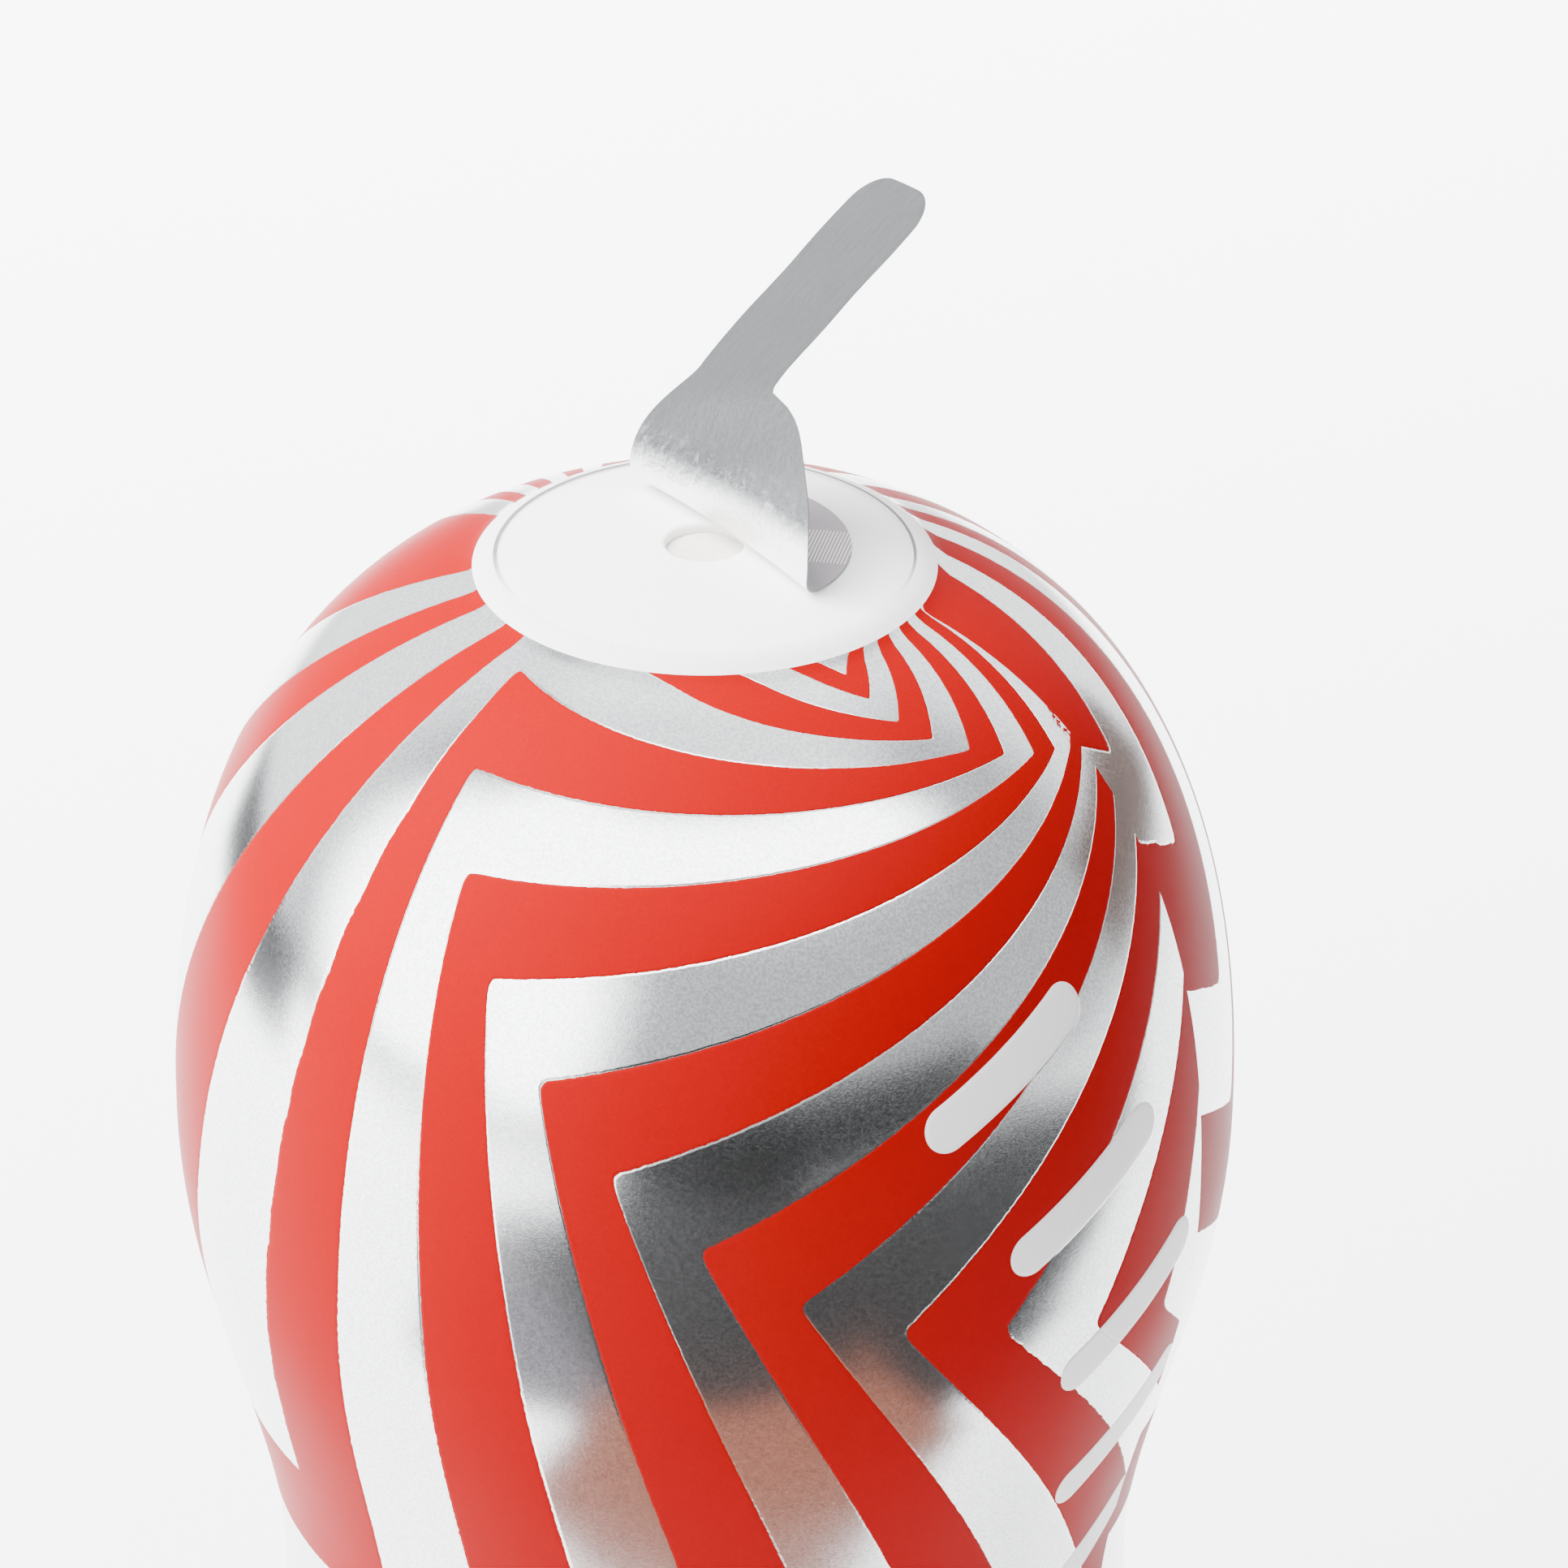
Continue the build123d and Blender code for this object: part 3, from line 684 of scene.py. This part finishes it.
class SealSizes(bpy.types.PropertyGroup):
    """Shape of the peeled seal."""

    radius: bpy.props.FloatProperty(
        name="Radius", description="Radius of the seal's disc",
        default=9.2 * MM, unit="LENGTH", precision=4,
    )
    fold: bpy.props.FloatProperty(
        name="Fold", description="From the vent's axis to the fold",
        default=FOLD_OFFSET, unit="LENGTH", precision=4,
    )
    roll_front: bpy.props.FloatProperty(
        name="Roll, front", description="Roll radius at the fold's near end",
        default=0.9 * MM, unit="LENGTH", precision=5,
    )
    roll_back: bpy.props.FloatProperty(
        name="Roll, back", description="Roll radius at the fold's far end",
        default=2.1 * MM, unit="LENGTH", precision=5,
    )
    lean: bpy.props.FloatProperty(
        name="Lean", description="Angle of the standing disc",
        default=math.radians(92), subtype="ANGLE",
    )
    bend: bpy.props.FloatProperty(
        name="Bend", description="Angle that the tab leans back",
        default=math.radians(50), subtype="ANGLE",
    )


# ---------------------------------------------------------------- pieces


class CUP_OT_printed_film(bpy.types.Operator):
    """Shrunk film in three lengths: sleeve, tear strip and the part left on the cap"""

    bl_idname = "cup.printed_film"
    bl_label = "Printed film"

    def execute(self, context):
        sizes = context.scene.cup_sizes
        material = film_material(sizes)
        outer = film_outline(SLEEVE_LOW)
        inner = inset(outer, FILM)
        sleeve = turned("film_sleeve", outer + inner[::-1], sizes.film_columns, 60)
        print_on(sleeve)
        hand_over(sleeve, "case", "printed_film", material, "printed_sleeve")
        for name, body, node, low, high in (
            ("film_tear_strip", "case", "tear_strip", STRIP_LOW, STRIP_HIGH),
            ("film_on_cap", "cap", "cap_film", CAP_FILM_LOW, CAP_FILM_HIGH),
        ):
            rows = np.linspace(low, high, 9)
            section = [(FOOT_RADIUS, z) for z in rows] + [(FOOT_RADIUS - FILM, z) for z in rows[::-1]]
            band = turned(name, section, sizes.film_columns, 60)
            print_on(band)
            hand_over(band, body, "printed_film", material, node)
        return {"FINISHED"}


class CUP_OT_shells(bpy.types.Operator):
    """White shells: the bulb with its crowned, vented plate, and the skirt with tongue and neck"""

    bl_idname = "cup.shells"
    bl_label = "Shells"

    def execute(self, context):
        material = plastic_material("shell_white", tuple(context.scene.cup_sizes.shell))
        outline = film_outline(WAIST_HEIGHT, 2.5 * MM)
        # the rows nearest the plate give way to the plate's own edge
        outer, inner = inset(outline, SKIN)[:-3], inset(outline, SKIN + SHELL_WALL)[:-5]
        radii = np.linspace(PLATE_RADIUS, VENT_RADIUS, 14)
        plate = [(r, crown(r)) for r in radii]
        under = [(r, crown(r) - PLATE_WALL) for r in radii[::-1]]
        bulb = turned("bulb_shell", outer + plate + under + inner[::-1], 192)
        soften(bulb, 0.25 * MM, 3, 50)
        hand_over(bulb, "case", "shell_white", material, "upper_case")
        skirt = self.skirt()
        soften(skirt, 0.2 * MM)
        hand_over(skirt, "case", "shell_white", material, "lower_case")
        return {"FINISHED"}

    def skirt(self):
        """Lower shell: outer wall, tongue above the waist, inner wall, ledge and neck."""
        heights = np.linspace(SHELL_LOW_EDGE, WAIST_HEIGHT - SLIP, 30)
        wall = [(film_radius(z), z) for z in heights]
        outer = inset(wall, SKIN)
        inner = [p for p in inset(wall, SKIN + SHELL_WALL) if p[1] > SHELL_LOW_EDGE + SHELL_WALL]
        inner = [p for p in inner if p[1] < WAIST_HEIGHT - TONGUE_LENGTH]
        tongue = WAIST_RADIUS - SKIN - SHELL_WALL - SLIP
        step_top = SHELL_LOW_EDGE + SHELL_WALL
        section = outer + [
            (tongue, WAIST_HEIGHT - SLIP),
            (tongue, WAIST_HEIGHT + TONGUE_LENGTH),
            (tongue - TONGUE_WALL, WAIST_HEIGHT + TONGUE_LENGTH),
            (tongue - TONGUE_WALL, WAIST_HEIGHT - TONGUE_LENGTH),
            *inner[::-1],
            (inner[0][0], step_top),
            (NECK_INNER, step_top),
            (NECK_INNER, LEDGE_TOP),
            (LEDGE_INNER, LEDGE_TOP),
            (LEDGE_INNER, LEDGE_TOP - LEDGE_THICKNESS),
            (NECK_INNER, LEDGE_TOP - LEDGE_THICKNESS),
            (NECK_INNER, SHELL_LOW),
            (NECK_RADIUS, SHELL_LOW),
            (NECK_RADIUS, SHELL_LOW_EDGE),
        ]
        return turned("skirt_shell", section, 160)


class CUP_OT_foil_seal(bpy.types.Operator):
    """Foil seal: bonded part, roll, standing disc and pull tab, all one piece of foil"""

    bl_idname = "cup.foil_seal"
    bl_label = "Foil seal"

    def execute(self, context):
        seal = context.scene.seal_sizes
        rows, columns = 150, 48
        deselect()
        bpy.ops.mesh.primitive_grid_add(x_subdivisions=rows - 1, y_subdivisions=columns - 1, size=2.0)
        foil = bpy.context.object
        foil.name = foil.data.name = "foil_seal"
        near, far = seal.fold - seal.radius, TAB_END
        flat = foil.data.uv_layers[0]
        flat.name = "flat"
        pattern = []
        for vertex in foil.data.vertices:
            along = near + (far - near) * (1 - math.cos((vertex.co.x + 1) / 2 * math.pi)) / 2
            low, high = self.edges(along, seal)
            beside = low + (high - low) * (vertex.co.y + 1) / 2
            pattern.append((along, beside))
        for loop in foil.data.loops:
            flat.data[loop.index].uv = pattern[loop.vertex_index]
        laid = self.lay(np.array(pattern), seal)
        for vertex, place in zip(foil.data.vertices, laid):
            vertex.co = place
        bpy.ops.object.mode_set(mode="EDIT")
        bpy.ops.mesh.select_all(action="SELECT")
        bpy.ops.mesh.flip_normals()
        bpy.ops.object.mode_set(mode="OBJECT")
        wall = foil.modifiers.new("Foil", "SOLIDIFY")
        wall.thickness, wall.offset, wall.material_offset = context.scene.cup_sizes.foil, 0.0, 1
        wall.use_even_offset = True
        for material in (foil_printed_material(), foil_bare_material()):
            foil.data.materials.append(material)
        bpy.ops.object.modifier_apply(modifier=wall.name)
        bpy.ops.object.shade_smooth_by_angle(angle=math.radians(50))
        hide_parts("seal_bonded", "seal_flap")
        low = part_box("seal_bonded")[1].z
        low + 0.1 * MM
        low + 3.2 * MM
        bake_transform(foil)
        return {"FINISHED"}

    def edges(self, along, seal):
        """The flat foil's two edges beside a place along it, counted from the fold."""
        chord = seal.radius**2 - (along - seal.fold) ** 2
        disc = math.sqrt(chord) if chord > 0 else -math.sqrt(-chord)
        if along < seal.fold:
            return -disc, disc
        reach = max(along - (TAB_END - TAB_ROUND), 0) / TAB_ROUND
        pull = TAB_ROUND * (1 - math.sqrt(max(1 - reach**2, 0)))
        low, high = TAB_EDGES[0] + pull, TAB_EDGES[1] - pull
        share = min((along - seal.fold) / seal.radius, 1)
        fuller = disc
        if share < 1:
            fuller = seal.radius * (1 - share**SEAL_FULLNESS) ** (1 / SEAL_FULLNESS)
        return -smooth_max(fuller, -low, NOTCH_ROUND[0]), smooth_max(disc, high, NOTCH_ROUND[1])

    def lay(self, pattern, seal):
        """Places of the flat foil's points once it is bonded, rolled, stood up and bent."""
        along, beside = pattern[:, 0], pattern[:, 1]
        share = (beside / seal.radius + 1) / 2
        roll = seal.roll_front + (seal.roll_back - seal.roll_front) * share
        span = 1.5 * roll * seal.lean      # an eased turn is tightest at 1.5 times its mean curvature
        bend_start = BEND_START - BEND_SKEW * (2 * share - 1)
        across = np.where(along < 0, seal.fold - along, seal.fold)
        height = np.zeros_like(along)
        steps = 240
        ahead = np.maximum(along, 0) / steps
        for step in range(steps):
            gone = ahead * (step + 0.5)
            lean = seal.lean * ease(gone / span) + seal.bend * ease((gone - bend_start) / BEND_SPAN)
            across = across - np.cos(lean) * ahead
            height = height + np.sin(lean) * ahead
        radius = np.hypot(np.where(along < 0, across, seal.fold), beside)
        over_plate = np.minimum(radius, PLATE_RADIUS)
        plate = TOP - CROWN_RADIUS + np.sqrt(CROWN_RADIUS**2 - over_plate**2)
        ripple = 0.06 * MM * np.sin(along / MM * 0.9 + beside / MM * 0.5)
        height = height + plate + SEAL_LIFT
        across = across + ripple * ease(along / (8 * MM))
        turn = math.radians(FOLD_ANGLE - 90)
        x = across * math.cos(turn) - beside * math.sin(turn)
        y = across * math.sin(turn) + beside * math.cos(turn)
        return np.stack([x, y, height], 1)


class CUP_OT_base_cap(bpy.types.Operator):
    """Pull-off cap with its foot ring, and the sealing disc and wetting sponge inside it"""

    bl_idname = "cup.base_cap"
    bl_label = "Base cap"

    def execute(self, context):
        material = plastic_material("cap_white", tuple(context.scene.cup_sizes.shell), 0.36, 0.12)
        floor_low, floor_top, inner = 0.8 * MM, 2.4 * MM, CAP_RADIUS - 1.5 * MM
        foot_inner, foot_round, corner_cut = CAP_RADIUS - 8.3 * MM, 2.5 * MM, 0.8 * MM
        bead, bead_height, gate = 14.0 * MM, 0.25 * MM, 1.2 * MM
        section = [
            (0, floor_top),
            (inner - corner_cut, floor_top),
            (inner, floor_top + corner_cut),
            (inner, CAP_TOP - 0.6 * MM),
            (inner + 0.5 * MM, CAP_TOP),
            (CAP_RADIUS, CAP_TOP),
            (CAP_RADIUS, foot_round + 0.5 * MM),
            *arc((CAP_RADIUS - foot_round, foot_round), foot_round, 0, -90, 10),
            (foot_inner, 0),
            (foot_inner - corner_cut, floor_low),
            (bead + 0.6 * MM, floor_low),
            (bead + 0.3 * MM, floor_low - bead_height),
            (bead - 0.3 * MM, floor_low - bead_height),
            (bead - 0.6 * MM, floor_low),
            (gate + 0.4 * MM, floor_low),
            (gate, floor_low + 0.4 * MM),
            (0, floor_low + 0.45 * MM),
        ]
        cap = turned("base_cap_moulded", section[::-1], 192)
        soften(cap, 0.15 * MM, 2, 40)
        hand_over(cap, "cap", "cap_white", material, "base_cap")
        foam = foam_material("foam_white", (0.84, 0.82, 0.76), (0.60, 0.57, 0.50), 1500)
        sponge = foam_material("sponge_cream", (0.82, 0.78, 0.66), (0.52, 0.47, 0.36), 1900)
        pad_piece("cap_disc", "cap_seal_disc", "cap", "foam", foam, 0.8 * MM)
        pad_piece("wet_sponge", "mouth_sponge", "cap", "sponge", sponge, 1.2 * MM)
        return {"FINISHED"}


class CUP_OT_inside(bpy.types.Operator):
    """What the shells hold: ribbed liner, its clamp ring, two foam sleeves and the top pad"""

    bl_idname = "cup.inside"
    bl_label = "Inside"

    def execute(self, context):
        elastomer = elastomer_material((0.86, 0.80, 0.74))
        liner = turned("ribbed_liner", self.liner(), 96, 45)
        soften(liner, 0.4 * MM, 2, 50)
        hand_over(liner, "case", "elastomer", elastomer, "inner_liner")
        low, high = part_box("mouth_ring")
        inner, flange, plug = 18.5 * MM, high.x, NECK_INNER - SLIP
        shoulder = low.z + 3 * MM
        section = [(inner + 1.2 * MM, low.z), (flange, low.z), (flange, shoulder), (plug, shoulder)]
        section += [(plug, high.z), (inner, high.z), (inner, low.z + 1.2 * MM)]
        ring = turned("clamp_ring", section, 144)
        soften(ring, 0.35 * MM, 3, 30)
        white = plastic_material("ring_white", tuple(context.scene.cup_sizes.shell), 0.34, 0.2)
        hand_over(ring, "case", "shell_white", white, "mouth_ring")
        foam = foam_material("foam_cream", (0.84, 0.80, 0.71), (0.58, 0.53, 0.44), 1500)
        self.sleeve("foam_sleeve_upper", "upper_jacket", foam)
        self.sleeve("foam_sleeve_lower", "lower_jacket", foam)
        vent_foam = foam_material("foam_vent", (0.64, 0.60, 0.55), (0.56, 0.52, 0.47), 2600)
        self.top_pad(vent_foam)
        return {"FINISHED"}

    def liner(self):
        """Section of the liner: ribbed bore, rounded tip, straight wall and flange."""
        low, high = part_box("inner_liner")
        wall, flange, tip, air_hole = 21.3 * MM, high.x, 9.5 * MM, 1.5 * MM
        bore, crest, pitch, mouth = 9.0 * MM, 7.0 * MM, 9.0 * MM, 16.0 * MM
        start, end = low.z + 10 * MM, high.z - 7 * MM
        ribs = int((end - start) / pitch)
        section = [(mouth, low.z), (mouth - 1.2 * MM, low.z + 0.6 * MM)]
        section.append((bore + 0.8 * MM, start - 0.8 * MM))
        for z in np.arange(start, start + ribs * pitch, pitch / 12):
            swell = max(math.sin(2 * math.pi * ((z - start) / pitch - 0.35)), 0.0)
            section.append((bore - (bore - crest) * swell, z))
        section += [(bore, end - 2 * MM), (bore - 2 * MM, end), (air_hole, end), (air_hole, high.z)]
        section += arc((wall - tip, high.z - tip), tip, 90, 0, 10)
        section += [(wall, low.z + 2 * MM), (flange, low.z + 2 * MM), (flange, low.z)]
        return section[::-1]

    def sleeve(self, name, node, foam):
        """Foam between the liner and a shell, shaped to the shell."""
        low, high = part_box(node)
        bore = 21.6 * MM
        outline = [p for p in film_outline(low.z, 3 * MM) if p[1] < high.z + 2 * MM]
        outer = [p for p in inset(outline, SKIN + SHELL_WALL + 0.35 * MM) if low.z <= p[1] <= high.z]
        section = [(bore, low.z), (outer[0][0], low.z), *outer[1:]]
        section += [(outer[-1][0], high.z), (bore, high.z)]
        sleeve = turned(name, section, 96, 50)
        soften(sleeve, 0.6 * MM, 2, 50)
        hand_over(sleeve, "case", "foam", foam, node)

    def top_pad(self, foam):
        """Pad over the liner's tip, which bulges softly up into the vent."""
        low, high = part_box("top_pad")
        bulge, reach, crowning = TOP - 0.60 * MM, VENT_RADIUS - 0.03 * MM, 0.12 * MM
        section = [(0, low.z), (high.x - 1 * MM, low.z), (high.x, low.z + 1 * MM)]
        section += [(10.6 * MM, high.z - 0.9 * MM), (9.4 * MM, high.z - 0.1 * MM)]
        section += [(3.2 * MM, high.z), (reach, high.z + 0.1 * MM), (reach, bulge - crowning)]
        for a in np.linspace(0.3, 1.57, 8):
            section.append((reach * math.cos(a), bulge - crowning * (1 - math.sin(a))))
        pad = turned("vent_pad", section, 96, 60)
        hand_over(pad, "case", "foam", foam, "top_pad")


class CUP_OT_stage(bpy.types.Operator):
    """Pale floor, soft studio light and the camera"""

    bl_idname = "cup.stage"
    bl_label = "Stage"

    def execute(self, context):
        self.floor()
        self.lights(context)
        self.cards()
        self.sky()
        self.camera(context)
        return {"FINISHED"}

    def floor(self):
        deselect()
        bpy.ops.mesh.primitive_plane_add(size=6.0)
        floor = bpy.context.object
        floor.name = floor.data.name = "floor"
        shader = Shader("floor_pale", Roughness=0.9, Specular_IOR_Level=0.1)
        shade = shader.noise(3, 2, 0.5)
        shader.set("Base Color", shader.mix(shade, (0.88, 0.89, 0.89, 1), (0.90, 0.905, 0.905, 1)))
        floor.data.materials.append(shader.material)

    def lights(self, context):
        """Even world light and soft boxes, all hidden from glossy surfaces."""
        world = bpy.data.worlds.new("studio")
        world.use_nodes = True
        background = world.node_tree.nodes["Background"]
        background.inputs["Color"].default_value = (0.95, 0.965, 0.98, 1)
        background.inputs["Strength"].default_value = 0.45
        context.scene.world = world
        aim = Vector((0, 0, 0.11))
        for name, place, size, power in (
            ("left_box", (-0.70, 0.02, 0.42), (0.60, 0.70), 13.0),
            ("right_box", (0.80, 0.30, 0.36), (0.40, 0.80), 1.5),
            ("top_box", (-0.42, -0.05, 0.88), (0.80, 0.80), 58.0),
            ("front_box", (-0.56, -0.70, 0.44), (0.42, 0.36), 3.0),
        ):
            self.box(context, name, place, size, power, aim)
        place = Vector((0, 0.62, 0.55))
        back = self.box(context, "floor_box", place, (1.0, 0.5), 16.0, Vector((0, 0.62, 0)))
        back.data.spread = math.radians(110)

    def cards(self):
        """Dark and warm cards round the cup that only glossy surfaces show."""
        black, plum = (0, 0, 0, 1), (0.05, 0.046, 0.052, 1)
        brown, skin_tone = (0.03, 0.016, 0.012, 1), (0.10, 0.032, 0.018, 1)
        for name, place, size, turns, colour in (
            ("dark_card", (0.19, -0.30, 0.004), (0.76, 0.46), (0, 30), black),
            ("left_card", (-0.095, -0.25, 0.003), (0.26, 0.24), (0, -25), plum),
            ("front_card", (-0.03, -0.60, 0.002), (0.38, 0.42), (0, 0), black),
            ("far_card", (0.205, -0.564, 0.08), (1.0, 0.15), (90, 20), black),
            ("left_gap", (-0.40, 0.21, 0.052), (0.36, 0.10), (90, -118), black),
            ("right_gap", (0.45, 0.22, 0.17), (0.36, 0.18), (90, 116), brown),
            ("warm_card", (0.02, -0.112, 0.005), (0.17, 0.105), (0, 0), skin_tone),
        ):
            self.card(name, place, size, turns, colour)

    def box(self, context, name, place, size, power, aim):
        """One soft box that faces a point."""
        light = bpy.data.lights.new(name, "AREA")
        light.shape, light.size, light.size_y = "RECTANGLE", *size
        light.energy = power
        lamp = bpy.data.objects.new(name, light)
        context.scene.collection.objects.link(lamp)
        lamp.location = place
        lamp.visible_glossy = False
        lamp.rotation_euler = (aim - Vector(place)).to_track_quat("-Z", "Y").to_euler()
        return lamp

    def card(self, name, place, size, turns, colour):
        """One card at its place, tipped and turned by two angles in degrees."""
        deselect()
        bpy.ops.mesh.primitive_plane_add(size=1.0)
        card = bpy.context.object
        card.name = card.data.name = name
        card.scale = (*size, 1)
        card.rotation_euler = (math.radians(turns[0]), 0, math.radians(turns[1]))
        card.location = place
        bpy.ops.object.transform_apply(location=True, rotation=True, scale=True)
        shader = Shader(name, Base_Color=colour, Roughness=0.9)
        self.glossy_only(card, shader.material)

    def sky(self):
        """Dome that only glossy surfaces show: bright to the front left and high in front."""
        deselect()
        bpy.ops.mesh.primitive_uv_sphere_add(segments=48, ring_count=24, radius=1.0)
        dome = bpy.context.object
        dome.name = dome.data.name = "sky"
        dome.location, dome.scale = (0, 0, 0.13), (2, 2, 2)
        black = (0, 0, 0, 1)
        shader = Shader("sky", Base_Color=black, Specular_IOR_Level=0.0, Emission_Strength=10.0)
        place = shader.place()
        back = shader.node("SeparateXYZ", None, place, out="Y")
        up = shader.node("SeparateXYZ", None, place, out="Z")
        left_spot = self.spot(shader, place, -60, 16, 14, 44)
        high_band = up.ramp(0.58, 0.74) * up.ramp(0.86, 0.94, 1.0, 0.0)
        high_band = high_band * back.ramp(-0.25, -0.05, 1.0, 0.0)
        level = 0.09 + back.ramp(0.1, 0.5) * 0.18 + up.ramp(0.8, 0.95) * 0.16
        level = level + high_band * 0.9 + left_spot * 1.5
        shader.set("Emission Color", shader.mix(level, black, (0.98, 0.99, 1.0, 1)))
        self.glossy_only(dome, shader.material)

    def spot(self, shader, place, azimuth, elevation, inner, outer):
        """Round patch of the dome: 1 inside one angle about its direction, 0 outside another."""
        turn, rise = math.radians(azimuth), math.radians(elevation)
        aim = (math.cos(rise) * math.sin(turn), -math.cos(rise) * math.cos(turn), math.sin(rise))
        near = shader.node("VectorMath", {"operation": "DOT_PRODUCT"}, place, aim, out="Value")
        return near.ramp(math.cos(math.radians(outer)), math.cos(math.radians(inner)))

    def glossy_only(self, piece, material):
        """Gives a stage piece its material and hides it from all but glossy rays."""
        piece.data.materials.append(material)
        for rays in ("camera", "diffuse", "shadow", "transmission", "volume_scatter"):
            setattr(piece, "visible_" + rays, False)

    def camera(self, context):
        """Long lens before the cup, looking down on its upper half."""
        elevation, distance, tilt = math.radians(27.77), 0.450, math.radians(29.71)
        view = bpy.data.cameras.new("camera")
        view.sensor_width, view.lens, view.shift_x = 36.0, 164.77, 0.0505
        camera = bpy.data.objects.new("camera", view)
        context.scene.collection.objects.link(camera)
        up = TOP + distance * math.sin(elevation)
        camera.location = (0, -distance * math.cos(elevation), up)
        camera.rotation_euler = (math.pi / 2 - tilt, 0, 0)
        context.scene.camera = camera


class CUP_PT_panel(bpy.types.Panel):
    """Lists the cup's pieces in the sidebar"""

    bl_idname = "CUP_PT_panel"
    bl_label = "Cup"
    bl_space_type = "VIEW_3D"
    bl_region_type = "UI"
    bl_category = "Cup"

    def draw(self, context):
        for operator in OPERATORS:
            self.layout.operator(operator.bl_idname)


OPERATORS = (
    CUP_OT_stage,
    CUP_OT_printed_film,
    CUP_OT_shells,
    CUP_OT_foil_seal,
    CUP_OT_base_cap,
    CUP_OT_inside,
)
CLASSES = (CupSizes, SealSizes, *OPERATORS, CUP_PT_panel)


def register():
    for each in CLASSES:
        bpy.utils.register_class(each)
    bpy.types.Scene.cup_sizes = bpy.props.PointerProperty(type=CupSizes)
    bpy.types.Scene.seal_sizes = bpy.props.PointerProperty(type=SealSizes)


def unregister():
    del bpy.types.Scene.seal_sizes
    del bpy.types.Scene.cup_sizes
    for each in reversed(CLASSES):
        bpy.utils.unregister_class(each)


def main():
    register()
    for operator in OPERATORS:
        family, name = operator.bl_idname.split(".")
        getattr(getattr(bpy.ops, family), name)()


if __name__ == "__main__":
    main()
